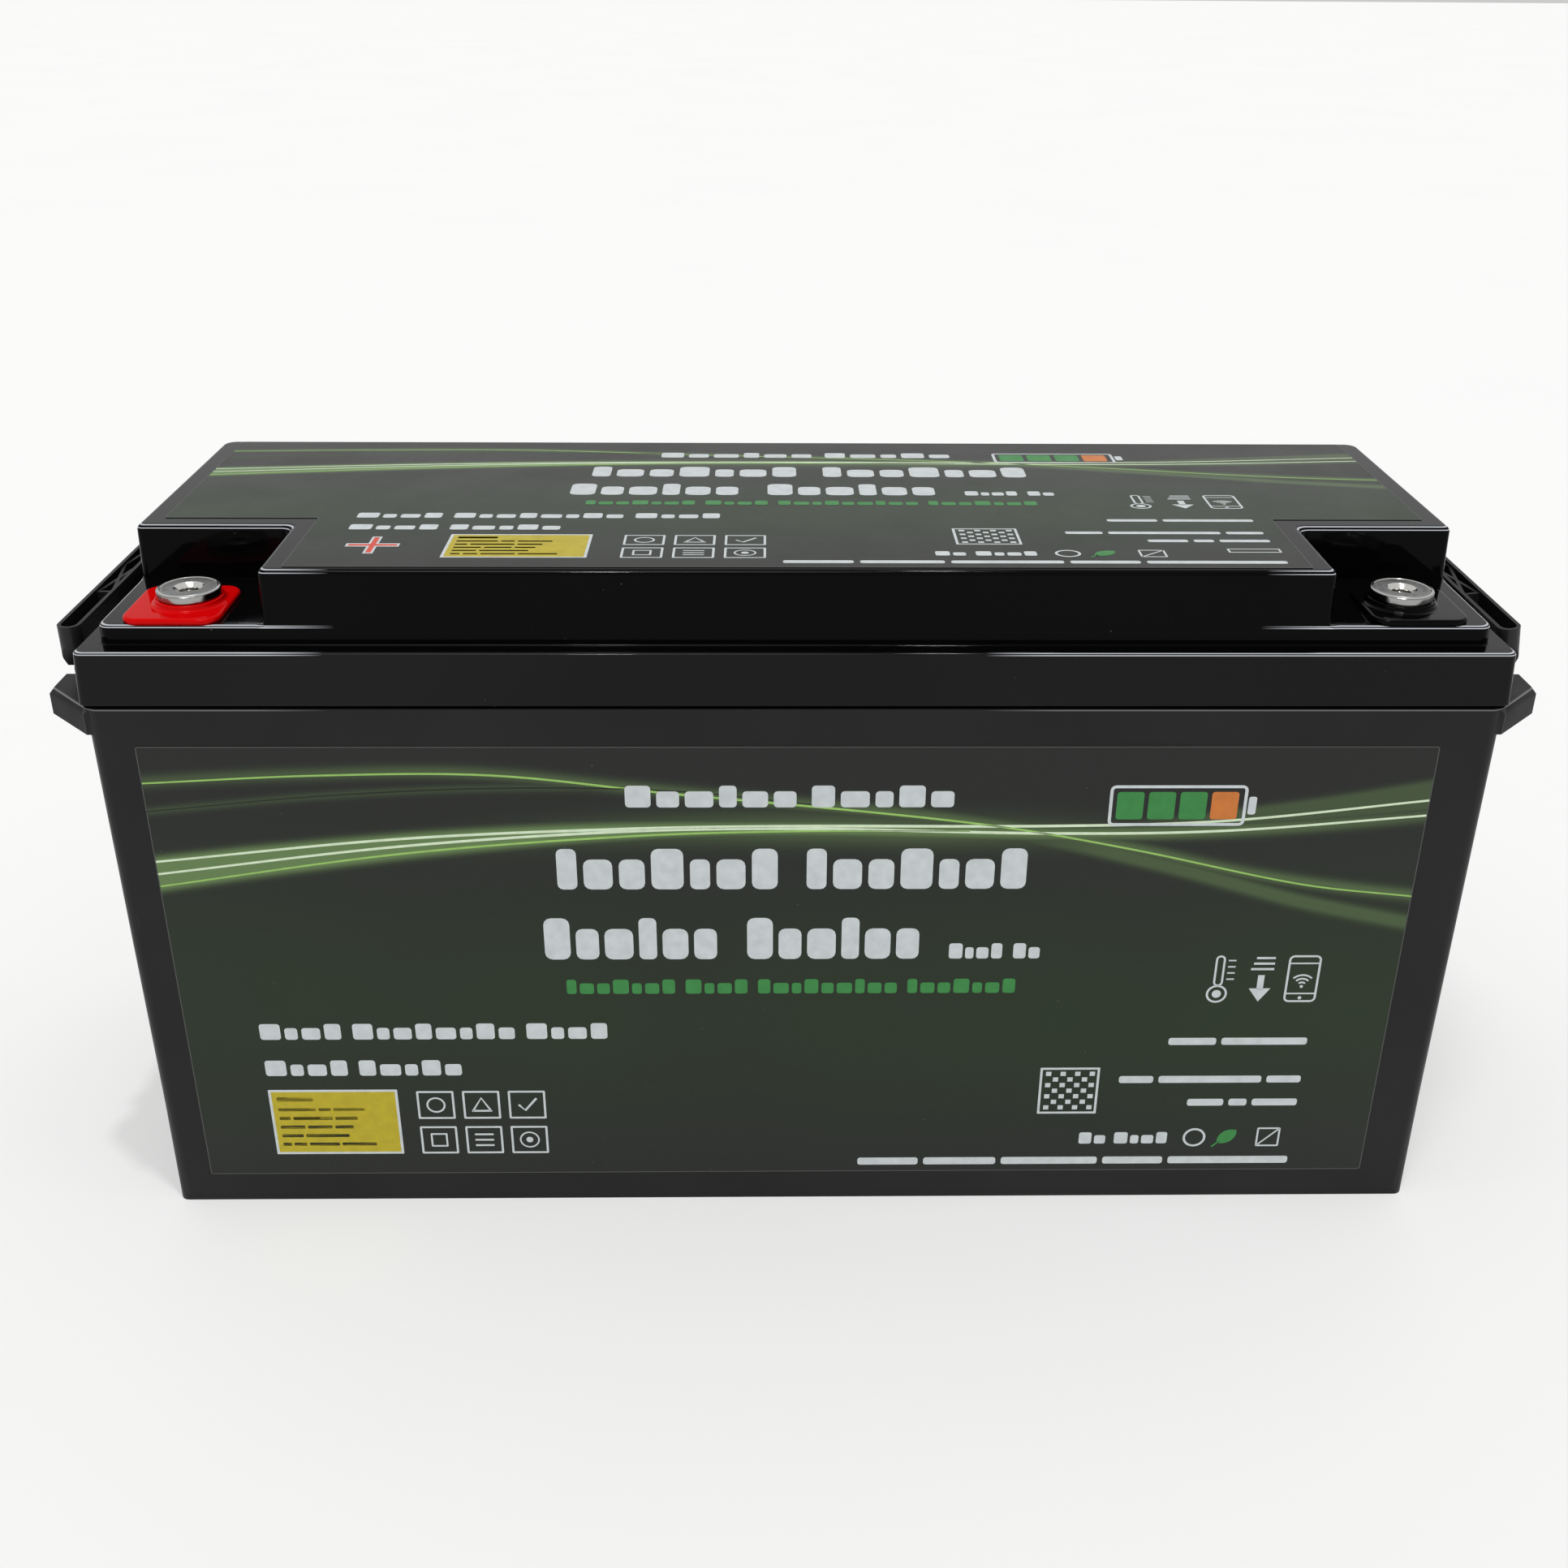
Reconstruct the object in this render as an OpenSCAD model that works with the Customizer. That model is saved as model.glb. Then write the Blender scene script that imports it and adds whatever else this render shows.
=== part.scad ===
// Sealed deep cycle battery in a long, narrow case: a moulded container and lid,
// two threaded terminals in notches, a folding handle at each end, and the cell
// pack, its control board and its wiring inside. Millimetres, +Z up, the front
// label faces -Y, and the origin is at the centre of the base.

/* [Case] */
// Length over the lid's skirt
case_l = 483; // [483:1:500]
// Width over the lid's skirt
case_w = 170; // [170:1:180]
// Height to the top of the raised block
case_h = 258; // [256:1:270]
// Height of the container's outer wall
tub_h = 211; // [210:0.5:213]
// Wall thickness of the container
tub_wall = 3.5; // [3:0.1:3.8]
// Thickness of the container's floor
floor_t = 4; // [3:0.5:4]
// Radius of the container's upright corners
tub_corner_r = 5; // [4:0.5:7]

/* [Lid] */
// Height of the skirt that overlaps the container
skirt_h = 20.5; // [18:0.5:21]
// Wall thickness of the raised block
lid_wall = 3; // [2.5:0.1:3.2]
// Width of the ledge between the skirt and the raised block
ledge_w = 6.9; // [5:0.1:8]
// Height of a terminal platform above the ledge
platform_h = 7; // [6:0.5:7]
// Length of a terminal notch along the case
notch_l = 55; // [50:1:60]
// Depth of a terminal notch across the case
notch_w = 45.7; // [40:0.1:48]

/* [Terminals] */
// Distance of a terminal from the end of the lid
terminal_end = 34; // [30:0.5:36]
// Distance of a terminal from the front of the lid
terminal_front = 25.5; // [24:0.5:28]
// Diameter of a terminal's contact disc
terminal_d = 21.4; // [18:0.1:24]
// Drilled diameter of the M8 thread
thread_d = 6.8; // [6.6:0.1:7]
// Depth of the M8 thread below the contact disc's face
thread_depth = 14; // [10:1:16]

/* [Handles] */
// Length of a handle
handle_l = 132; // [128:1:136]
// Width of a handle's grip
handle_w = 8; // [7:0.5:8]
// Height of a handle's rim above its hinge
handle_rise = 27; // [25:0.5:28]
// Outward tilt of the left handle at rest
left_tilt = 0; // [-6:1:30]
// Outward tilt of the right handle at rest
right_tilt = -7; // [-7:1:30]

/* [Cells] */
// Number of prismatic cells in the row
cell_count = 8; // [8]
// Thickness of one cell
cell_t = 36.7; // [36:0.1:36.7]
// Width of one cell
cell_w = 130.3; // [125:0.1:131]
// Height of one cell's can
cell_h = 195; // [190:1:195]

/* [Hidden] */

$fn = 64;
soft_fn = 32;
eps = 0.01;
skin = 0.1;

// Colours
plastic_black = [0.07, 0.07, 0.075];
gloss_black = [0.03, 0.03, 0.035];
signal_red = [0.80, 0.02, 0.04];
nickel = [0.78, 0.78, 0.76];
copper = [0.80, 0.45, 0.28];
print_dark = [0.10, 0.12, 0.10];
cell_blue = [0.12, 0.30, 0.60];
board_green = [0.05, 0.35, 0.18];
foam_grey = [0.32, 0.32, 0.34];

// Case
half_l = case_l / 2;
half_w = case_w / 2;
tub_top_inset = 0.9;
tub_base_inset_x = 2.5;
tub_base_inset_y = 2.2;
tub_edge = 2.5;
tub_top_l = case_l - 2 * tub_top_inset;
tub_top_w = case_w - 2 * tub_top_inset;
tub_base_l = case_l - 2 * tub_base_inset_x;
tub_base_w = case_w - 2 * tub_base_inset_y;
tongue_wall = 1.9;
tongue_h = 15;
cavity_l = tub_top_l - 2 * tub_wall;
cavity_w = tub_top_w - 2 * tub_wall;

// Lid
skirt_wall = 2.2;
skirt_gap = 0.2;
skirt_draft = 0.7;
skirt_corner_r = 3;
skirt_z = tub_h + skirt_gap;
ledge_z = tub_h + skirt_h;
platform_z = ledge_z + platform_h;
block_draft = 0.5;
block_edge = 1;
block_corner_r = 4;
block_l = case_l - 2 * (skirt_draft + ledge_w);
block_w = case_w - 2 * (skirt_draft + ledge_w);
notch_corner_r = 4;
seal_t = 2.3;

// Terminals
terminal_x = half_l - terminal_end;
terminal_y = -half_w + terminal_front;
base_size = 32.8;
base_out = 2.5;
base_front = 1.1;
base_corner_r = 6;
base_foot_r = 13.5;
base_flange_t = 2;
boss_r = 11.4;
boss_h = 4.1;
disc_t = 3;
disc_z = platform_z + boss_h;
terminal_top = disc_z + disc_t;
stud_r = 7;
stud_z = platform_z - 17;
stack_z = platform_z - lid_wall;
washer_t = 1.5;
lug_t = 2;
big_nut_t = 6;
big_nut_af = 22;
groove_in = 10.6;
groove_out = 13.6;
groove_depth = 0.9;

// Carrying lugs on the container's ends
lug_h = 10;
lug_chamfer = 2.4;
lug_reach = 17;
lug_top = tub_h;
lug_tip_y = 66;
lug_root_y = 83.2;
lug_inner_y = 34.5;
slot_y0 = 43.5;
slot_y1 = 54.5;
hinge_x = half_l + 7.5;
hinge_z = lug_top - lug_h / 2;
trunnion_r = 2.5;
trunnion_len = 3;
socket_r = trunnion_r + 0.06;
socket_depth = trunnion_len + 0.7;

// Handles, in a frame whose origin is the hinge
leg_y0 = 44;
leg_y1 = 54;
grip_wall = 1.3;
grip_floor = 2;
grip_under = 14.5;
web_y = 29;
rib_t = 1.1;
web_drop = 0.8;
rib_drop = 1.1;

// Labels
label_t = 0.25;
label_gap = 0.02;
front_label_l = 445;
front_label_h = 184;
front_label_x = -2.5;
front_label_z = 13;
top_label_end = 8;
top_label_edge = 2.6;
face_angle = atan((tub_base_inset_y - tub_top_inset) / (tub_h - tub_edge));

// Cell pack
spacer_t = 0.8;
pitch = cell_t + spacer_t;
pack_x0 = -226;
pack_l = cell_count * cell_t + (cell_count - 1) * spacer_t;
end_plate_t = 3;
pad_t = 3;
cell_z = floor_t + pad_t;
cell_top = cell_z + cell_h;
post_y = 43;
post_r = 6;
post_h = 4;
bar_z = cell_top + post_h;
bar_t = 2;
bar_w = 24;
stud_m6_r = 3;
stud_m6_top = bar_z + 7.5;
nut_z = bar_z + bar_t;
nut_t = 5;
nut_af = 10;
tap_y = -60;

// Control board
bracket_x = pack_x0 + pack_l + end_plate_t + 2.8;
bracket_t = 2;
board_x = bracket_x + bracket_t + 3;
board_t = 1.6;
part_x = board_x + board_t;
pad_block_t = 2.4;
board_half_w = 55;
board_z0 = 50;
board_z1 = 180;
fixing_y = 50;
fixing_z0 = 55;
fixing_z1 = 175;
tap_z = 150;
tap_in_y = -40;
tap_out_y = 20;

// Cables
cable_d = 9;
lug_barrel_r = 6;
lug_barrel_l = 14;
wire_d = 1.8;
wire_z = bar_z + 4.6;
plug_y0 = 31;
plug_pitch = 3.6;
plug_pins = 6;
plug_z = 168;
lane_y0 = 8;
lane_pitch = 4;

function cell_x(i) = pack_x0 + cell_t / 2 + i * pitch;

negative_tap_x = cell_x(7);
positive_tap_x = cell_x(1);

// The lead from the cell row's negative end down to the control board
route_cell_negative = [
    [79.85, -60, 214], [85, -60, 214], [92, -58, 211], [96, -53, 203],
    [96.5, -46, 193], [95.5, -41, 184], [94, -40, 175]
];
// The lead from the control board up to the negative terminal
route_pack_negative = [
    [94, 20, 175], [94.5, 20, 184], [98, 21, 196], [108, 23, 206], [124, 25, 212],
    [144, 24, 216], [164, 18, 220], [182, 8, 224], [196, -4, 226.6],
    [205, -16, 227.5], [207.5, -24, 227.5], [207.5, -30.5, 227.5]
];
// Where each sensing wire leaves its busbar: its place along the row, counted
// in cells from the first, the side of the row, and its lane. Lane 0 carries
// the temperature lead.
sense_taps = [
    [0.5, -1, 3], [1.5, 1, 4], [3.5, -1, 2], [5.5, 1, 5], [6.5, -1, 1]
];

// ---------------------------------------------------------------- helpers

// Rectangle with round corners, centred
module rounded_plan(l, w, r) {
    square([l - 2 * r, w], center = true);
    square([l, w - 2 * r], center = true);
    for (sx = [-1, 1], sy = [-1, 1])
        translate([sx * (l / 2 - r), sy * (w / 2 - r)])
            circle(r);
}

// Thin horizontal slice used to build drafted boxes
module slice(l, w, r, z) {
    translate([0, 0, z])
        linear_extrude(skin)
            rounded_plan(l, w, r);
}

// Box that is l0 by w0 at z0 and l1 by w1 at z1, with round upright corners
module drafted_box(l0, w0, l1, w1, r, z0, z1) {
    hull() {
        slice(l0, w0, r, z0, $fn = soft_fn);
        slice(l1, w1, r, z1 - skin, $fn = soft_fn);
    }
}

// Both terminals, or both of anything that is mirrored end to end
module both_ends() {
    children();
    mirror([1, 0, 0])
        children();
}

module hex_nut(af, h, hole_r) {
    difference() {
        cylinder(r = af / 2 / cos(30), h = h, $fn = 6);
        translate([0, 0, -eps])
            cylinder(r = hole_r, h = h + 2 * eps);
    }
}

function unit(v) = v / norm(v);

// Point at t from 0 to 1 between b and c, on a smooth curve through a, b, c and d
function curve_point(a, b, c, d, t) = 0.5 * (2 * b + (c - a) * t
    + (2 * a - 5 * b + 4 * c - d) * t * t + (3 * b - a - 3 * c + d) * t * t * t);

function smooth_route(p, steps) = [
    for (i = [0 : len(p) - 2]) for (s = [0 : steps - 1])
        curve_point(p[max(i - 1, 0)], p[i], p[i + 1], p[min(i + 2, len(p) - 1)], s / steps),
    p[len(p) - 1]
];

function route_dirs(p) = [
    for (i = [0 : len(p) - 1]) unit(p[min(i + 1, len(p) - 1)] - p[max(i - 1, 0)])
];

// Sideways vectors carried along the route without twist
function carried(dirs, i, n) = i == len(dirs) ? [] :
    let (m = unit(n - (n * dirs[i]) * dirs[i])) concat([m], carried(dirs, i + 1, m));

// Round tube swept along a smooth curve through the route's points
module swept_tube(route, d, steps, sides) {
    path = smooth_route(route, steps);
    dirs = route_dirs(path);
    start = abs(dirs[0].z) < 0.9 ? [0, 0, 1] : [1, 0, 0];
    side_vectors = carried(dirs, 0, start);
    rings = len(path);
    points = [
        for (i = [0 : rings - 1]) for (j = [0 : sides - 1])
            path[i] + d / 2 * (cos(360 * j / sides) * side_vectors[i]
                + sin(360 * j / sides) * cross(dirs[i], side_vectors[i]))
    ];
    walls = [
        for (i = [0 : rings - 2]) for (j = [0 : sides - 1])
            [i * sides + j, (i + 1) * sides + j,
             (i + 1) * sides + (j + 1) % sides, i * sides + (j + 1) % sides]
    ];
    first = [for (j = [0 : sides - 1]) j];
    last = [for (j = [0 : sides - 1]) rings * sides - 1 - j];
    polyhedron(points, concat(walls, [first], [last]));
}

// ---------------------------------------------------------------- case

// Plan of one carrying lug at the +X end, on the +Y side
module lug_plan(inset) {
    reach = half_l + lug_reach - inset;
    polygon([
        [half_l - 3.5, lug_root_y], [half_l - 0.9, lug_root_y - inset],
        [reach, lug_tip_y - 0.4 * inset], [reach, lug_inner_y + 6.5 + 0.4 * inset],
        [reach - 6.5, lug_inner_y + inset], [half_l - 3.5, lug_inner_y + inset]
    ]);
}

module lug_block() {
    hull() {
        translate([0, 0, lug_top - lug_h])
            linear_extrude(lug_h - lug_chamfer)
                lug_plan(0);
        translate([0, 0, lug_top - skin])
            linear_extrude(skin)
                lug_plan(lug_chamfer * 0.8);
    }
}

// Slot and trunnion sockets of one lug
module lug_slot() {
    translate([half_l + 2.5, slot_y0, lug_top - lug_h - 1])
        cube([lug_reach + 1, slot_y1 - slot_y0, lug_h + 2]);
    translate([hinge_x, slot_y0 - socket_depth, hinge_z])
        rotate([-90, 0, 0])
            cylinder(r = socket_r, h = slot_y1 - slot_y0 + 2 * socket_depth);
}

module container() {
    color(plastic_black)
    difference() {
        union() {
            hull() {
                slice(tub_base_l - 2 * tub_edge, tub_base_w - 2 * tub_edge,
                      tub_corner_r - 1, 0, $fn = soft_fn);
                slice(tub_base_l, tub_base_w, tub_corner_r, tub_edge, $fn = soft_fn);
                slice(tub_top_l, tub_top_w, tub_corner_r, tub_h - skin, $fn = soft_fn);
            }
            linear_extrude(tub_h + tongue_h)
                rounded_plan(cavity_l + 2 * tongue_wall, cavity_w + 2 * tongue_wall, 3.4);
            for (sx = [0, 1], sy = [0, 1])
                mirror([sx, 0, 0])
                    mirror([0, sy, 0])
                        lug_block();
        }
        drafted_box(cavity_l - 2 * (tub_base_inset_x - tub_top_inset),
                    cavity_w - 2 * (tub_base_inset_y - tub_top_inset),
                    cavity_l, cavity_w, 1.5, floor_t, tub_h);
        translate([0, 0, tub_h - 1])
            linear_extrude(tongue_h + 2)
                rounded_plan(cavity_l + skin, cavity_w + skin, 1.5);
        for (sx = [0, 1], sy = [0, 1])
            mirror([sx, 0, 0])
                mirror([0, sy, 0])
                    lug_slot();
    }
}

// Space of both terminal notches, widened by grow, from height z up
module notches(grow, z) {
    inner_x = block_l / 2 - notch_l - grow;
    back_y = -block_w / 2 + notch_w + grow;
    r = notch_corner_r + grow;
    both_ends()
        translate([0, 0, z])
            linear_extrude(case_h - z + 1)
                difference() {
                    translate([inner_x, -half_w])
                        square([half_l - inner_x, half_w + back_y]);
                    translate([inner_x, back_y - r])
                        difference() {
                            translate([-1, 0])
                                square([r + 1, r + 1]);
                            translate([r, 0])
                                circle(r);
                        }
                }
}

module raised_block(inset, z0, z1, edge) {
    l = block_l - 2 * inset;
    w = block_w - 2 * inset;
    r = max(block_corner_r - inset, 1);
    hull() {
        slice(l, w, r, z0, $fn = soft_fn);
        slice(l - 2 * block_draft, w - 2 * block_draft, r, z1 - edge - skin, $fn = soft_fn);
        slice(l - 2 * (block_draft + edge), w - 2 * (block_draft + edge),
              r, z1 - skin, $fn = soft_fn);
    }
}

module lid() {
    skirt_in_l = case_l - 2 * skirt_wall;
    skirt_in_w = case_w - 2 * skirt_wall;
    color(gloss_black)
    difference() {
        union() {
            drafted_box(case_l, case_w, case_l - 2 * skirt_draft, case_w - 2 * skirt_draft,
                        skirt_corner_r, skirt_z, ledge_z);
            difference() {
                raised_block(0, ledge_z - 1, case_h, block_edge);
                notches(0, platform_z);
            }
        }
        translate([0, 0, skirt_z - 1])
            linear_extrude(ledge_z - lid_wall - skirt_z + 1)
                rounded_plan(skirt_in_l, skirt_in_w, 3.5);
        difference() {
            raised_block(lid_wall, ledge_z - lid_wall - 1, case_h - lid_wall, 0.5);
            notches(lid_wall, platform_z - lid_wall);
        }
        both_ends()
            translate([terminal_x, terminal_y, platform_z - lid_wall - 1])
                cylinder(r = groove_in - 0.4, h = lid_wall + 2);
    }
}

module lid_seal() {
    color("dimgray")
    translate([0, 0, tub_h + tongue_h])
        linear_extrude(seal_t)
            difference() {
                rounded_plan(cavity_l + 2 * tongue_wall, cavity_w + 2 * tongue_wall, 3.4);
                rounded_plan(cavity_l + 0.4, cavity_w + 0.4, 1.7);
            }
}

// ---------------------------------------------------------------- terminals

module at_terminal(side) {
    translate([side * terminal_x, terminal_y, 0])
        children();
}

// Square moulded base with a round boss, a collar through the lid and a
// gasket groove beneath. The square reaches further outwards and forwards.
module terminal_base(side) {
    difference() {
        union() {
            translate([side * base_out, -base_front, platform_z])
                linear_extrude(base_flange_t)
                    rounded_plan(base_size, base_size, base_corner_r);
            translate([0, 0, platform_z + base_flange_t])
                cylinder(r1 = base_foot_r, r2 = boss_r, h = boss_h - base_flange_t - 0.6);
            translate([0, 0, stack_z + 0.1])
                cylinder(r = boss_r, h = disc_z - stack_z - 0.1);
        }
        difference() {
            translate([0, 0, stack_z - 1])
                cylinder(r = boss_r + 1, h = lid_wall + 1);
            cylinder(r = groove_in - 0.5, h = platform_z);
        }
        difference() {
            translate([0, 0, platform_z - 1])
                cylinder(r = groove_out, h = 1 + groove_depth);
            translate([0, 0, platform_z - 2])
                cylinder(r = groove_in, h = 4);
        }
        translate([0, 0, stack_z - 1])
            cylinder(r = stud_r + 0.1, h = disc_z);
    }
}

module terminal_base_positive() {
    color(signal_red)
    at_terminal(-1)
        terminal_base(-1);
}

module terminal_base_negative() {
    color(gloss_black)
    at_terminal(1)
        terminal_base(1);
}

module terminal_gaskets() {
    color("dimgray")
    both_ends()
        at_terminal(1)
            translate([0, 0, platform_z])
                difference() {
                    cylinder(r = groove_out - 0.1, h = groove_depth - 0.05);
                    translate([0, 0, -1])
                        cylinder(r = groove_in + 0.1, h = groove_depth + 2);
                }
}

// Contact disc on a threaded stud, drilled and tapped from above
module terminal() {
    thread_top = terminal_top - 1.2;
    difference() {
        union() {
            translate([0, 0, disc_z])
                cylinder(d = terminal_d, h = disc_t - 0.5);
            translate([0, 0, terminal_top - 0.5])
                cylinder(d1 = terminal_d, d2 = terminal_d - 1, h = 0.5);
            translate([0, 0, stud_z])
                cylinder(r = stud_r, h = disc_z - stud_z + 1);
        }
        translate([0, 0, terminal_top - thread_depth])
            cylinder(d = thread_d, h = thread_depth + 1);
        translate([0, 0, thread_top])
            cylinder(d1 = thread_d, d2 = thread_d + 2.4, h = terminal_top - thread_top + eps);
    }
}

module terminal_positive() {
    color(nickel)
    at_terminal(-1)
        terminal();
}

module terminal_negative() {
    color(nickel)
    at_terminal(1)
        terminal();
}

module terminal_washers() {
    color(nickel)
    both_ends()
        at_terminal(1)
            translate([0, 0, stack_z - washer_t])
                difference() {
                    cylinder(r = 12.5, h = washer_t);
                    translate([0, 0, -1])
                        cylinder(r = stud_r + 0.15, h = washer_t + 2);
                }
}

module terminal_nuts() {
    color(nickel)
    both_ends()
        at_terminal(1)
            translate([0, 0, stack_z - washer_t - lug_t - big_nut_t])
                hex_nut(big_nut_af, big_nut_t, stud_r + 0.1);
}

// ---------------------------------------------------------------- handles

// Side view of a handle without its cavities: half of it, for y above 0
module grip_profile_half() {
    polygon([
        [0, handle_rise], [handle_l / 2, handle_rise], [handle_l / 2, 20],
        [handle_l / 2 - 3, 14.8], [handle_l / 2 - 6.2, 10.6], [leg_y1, 10.6],
        [leg_y1, 0], [leg_y0, 0], [leg_y0, 10.6], [leg_y0 - 4, grip_under], [0, grip_under]
    ]);
}

// The part of the side view that is hollow, open at the top
module pocket_profile_half() {
    polygon([
        [0, handle_rise + 1], [handle_l / 2 - grip_wall, handle_rise + 1],
        [handle_l / 2 - grip_wall, 20.4], [handle_l / 2 - 4.6, 15.4],
        [handle_l / 2 - 7, 12.6], [leg_y0 - 2, 12.6],
        [leg_y0 - 4, grip_under + grip_floor], [0, grip_under + grip_floor]
    ]);
}

// Draws a side view on both sides of y = 0 and makes it w thick along X
module side_view(w) {
    for (m = [0, 1])
        mirror([0, m, 0])
            translate([-w / 2, 0, 0])
                rotate([90, 0, 90])
                    linear_extrude(w)
                        children();
}

module stadium(l, w) {
    square([w, l - w], center = true);
    for (s = [-1, 1])
        translate([0, s * (l - w) / 2])
            circle(d = w);
}

// Rib from one wall of the channel to the other between y = a and y = b
module truss_rib(a, b, flip) {
    run = b - a;
    cross_w = handle_w - 2 * grip_wall;
    angle = atan(cross_w / run);
    h = handle_rise - rib_drop - grip_under;
    translate([0, (a + b) / 2, grip_under + h / 2])
        rotate([0, 0, flip * angle])
            cube([rib_t, run / cos(angle) + 1, h], center = true);
}

module handle() {
    inner_w = handle_w - 2 * grip_wall;
    difference() {
        intersection() {
            side_view(handle_w)
                grip_profile_half();
            linear_extrude(handle_rise)
                stadium(handle_l, handle_w);
        }
        intersection() {
            side_view(inner_w)
                pocket_profile_half();
            linear_extrude(handle_rise + 1)
                stadium(handle_l - 2 * grip_wall, inner_w);
        }
    }
    for (s = [-1, 1]) {
        translate([-handle_w / 2 + 0.5, s * web_y - rib_t / 2, grip_under + 0.5])
            cube([handle_w - 1, rib_t, handle_rise - web_drop - grip_under - 0.5]);
        translate([0, s * (leg_y0 + leg_y1) / 2, 0])
            rotate([90, 0, 0])
                cylinder(r = handle_w / 2, h = leg_y1 - leg_y0, center = true);
        translate([0, s * (leg_y0 + leg_y1) / 2, 0])
            rotate([90, 0, 0])
                cylinder(r = trunnion_r, h = leg_y1 - leg_y0 + 2 * trunnion_len, center = true);
        for (flip = [-1, 1])
            truss_rib(min(0, s * web_y), max(0, s * web_y), flip);
    }
}

module handle_right() {
    color(plastic_black)
    translate([hinge_x, 0, hinge_z])
        rotate([0, right_tilt, 0])
            handle();
}

module handle_left() {
    color(plastic_black)
    mirror([1, 0, 0])
        translate([hinge_x, 0, hinge_z])
            rotate([0, left_tilt, 0])
                handle();
}

// ---------------------------------------------------------------- labels

module front_label() {
    color(print_dark)
    translate([front_label_x, -tub_base_w / 2 - label_gap, tub_edge])
        rotate([face_angle, 0, 0])
            translate([-front_label_l / 2, -label_t, front_label_z - tub_edge])
                cube([front_label_l, label_t, front_label_h]);
}

module top_label() {
    top_l = block_l - 2 * (block_draft + top_label_end);
    top_w = block_w - 2 * (block_draft + top_label_edge);
    color(print_dark)
    translate([0, 0, case_h + label_gap])
        difference() {
            linear_extrude(label_t)
                rounded_plan(top_l, top_w, 1.5);
            notch_x = block_l / 2 - notch_l - top_label_end;
            notch_y = -block_w / 2 + notch_w + top_label_end;
            both_ends()
                translate([notch_x, -half_w, -1])
                    cube([half_l, half_w + notch_y, label_t + 2]);
        }
}

// ---------------------------------------------------------------- cell pack

module cell_can(i) {
    color(cell_blue)
    translate([cell_x(i), 0, 0]) {
        difference() {
            translate([0, 0, cell_z])
                linear_extrude(cell_h)
                    rounded_plan(cell_t, cell_w, 2.5);
            translate([0, 0, cell_top - 0.6])
                cylinder(r = 9, h = 1);
        }
        translate([0, 0, cell_top - 1])
            cylinder(r = 6, h = 1);
        for (s = [-1, 1])
            translate([0, s * post_y, cell_top - 1]) {
                cylinder(r = post_r, h = post_h + 1);
                cylinder(r = stud_m6_r, h = stud_m6_top - cell_top + 1);
            }
    }
}

module cell_spacers() {
    color("white")
    for (i = [1 : cell_count - 1])
        translate([cell_x(i) - cell_t / 2 - spacer_t, -cell_w / 2 + 2, cell_z + 1])
            cube([spacer_t, cell_w - 4, cell_h - 3]);
}

module cell_end_plates() {
    color("khaki")
    for (x = [pack_x0 - end_plate_t, pack_x0 + pack_l])
        translate([x, -cell_w / 2, cell_z])
            cube([end_plate_t, cell_w, cell_h - 4]);
}

module cell_straps() {
    l = pack_l + 2 * end_plate_t + 0.2;
    w = cell_w + 0.3;
    strap_t = 0.8;
    color("silver")
    for (z = [65, 140])
        translate([pack_x0 + pack_l / 2, 0, z])
            linear_extrude(16)
                difference() {
                    rounded_plan(l + 2 * strap_t, w + 2 * strap_t, 1.6);
                    square([l, w], center = true);
                }
}

// Flat copper bar over the posts of cells a to b on one side of the row
module busbar(a, b, side, tap_x) {
    x0 = cell_x(a) - 11;
    x1 = cell_x(b) + 11;
    difference() {
        union() {
            translate([x0, side * post_y - bar_w / 2, bar_z])
                cube([x1 - x0, bar_w, bar_t]);
            if (tap_x != undef)
                translate([tap_x - 10, tap_y - 11, bar_z])
                    cube([20, post_y + tap_y + 40, bar_t]);
        }
        for (i = [a : b])
            translate([cell_x(i), side * post_y, bar_z - 1])
                cylinder(r = stud_m6_r + 0.15, h = bar_t + 2);
    }
    if (tap_x != undef)
        translate([tap_x, tap_y, bar_z + bar_t / 2])
            cylinder(r = stud_m6_r, h = 11);
}

module busbars() {
    color(copper) {
        busbar(0, 1, -1, positive_tap_x);
        busbar(0, 3, 1, undef);
        busbar(2, 5, -1, undef);
        busbar(4, 7, 1, undef);
        busbar(6, 7, -1, negative_tap_x);
    }
}

module busbar_nuts() {
    color(nickel) {
        for (i = [0 : cell_count - 1], s = [-1, 1])
            translate([cell_x(i), s * post_y, nut_z])
                hex_nut(nut_af, nut_t, stud_m6_r + 0.1);
        for (x = [positive_tap_x, negative_tap_x])
            translate([x, tap_y, nut_z + lug_t])
                hex_nut(nut_af, nut_t, stud_m6_r + 0.1);
    }
}

module insulation_board() {
    color("khaki")
    translate([pack_x0, -49, stud_m6_top + 0.2])
        cube([pack_l, 111, 1.5]);
}

module base_foam_pad() {
    color(foam_grey)
    translate([pack_x0 - end_plate_t, -66, floor_t])
        cube([pack_l + 2 * end_plate_t, 132, pad_t]);
}

module side_foam_pads() {
    color(foam_grey)
    for (m = [0, 1])
        mirror([0, m, 0])
            translate([-220, 66.4, cell_z])
                cube([290, 12.4, 186]);
}

// Thin pad behind the cell row, and the block that fills the far end
module end_foam_pads() {
    color(foam_grey) {
        translate([-234.8, -60, cell_z])
            cube([4.6, 120, 186]);
        translate([126, -70, cell_z])
            cube([106, 140, 183]);
    }
}

// ---------------------------------------------------------------- control board

module at_fixings() {
    for (y = [-fixing_y, fixing_y], z = [fixing_z0, fixing_z1])
        translate([0, y, z])
            rotate([0, 90, 0])
                children();
}

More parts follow.
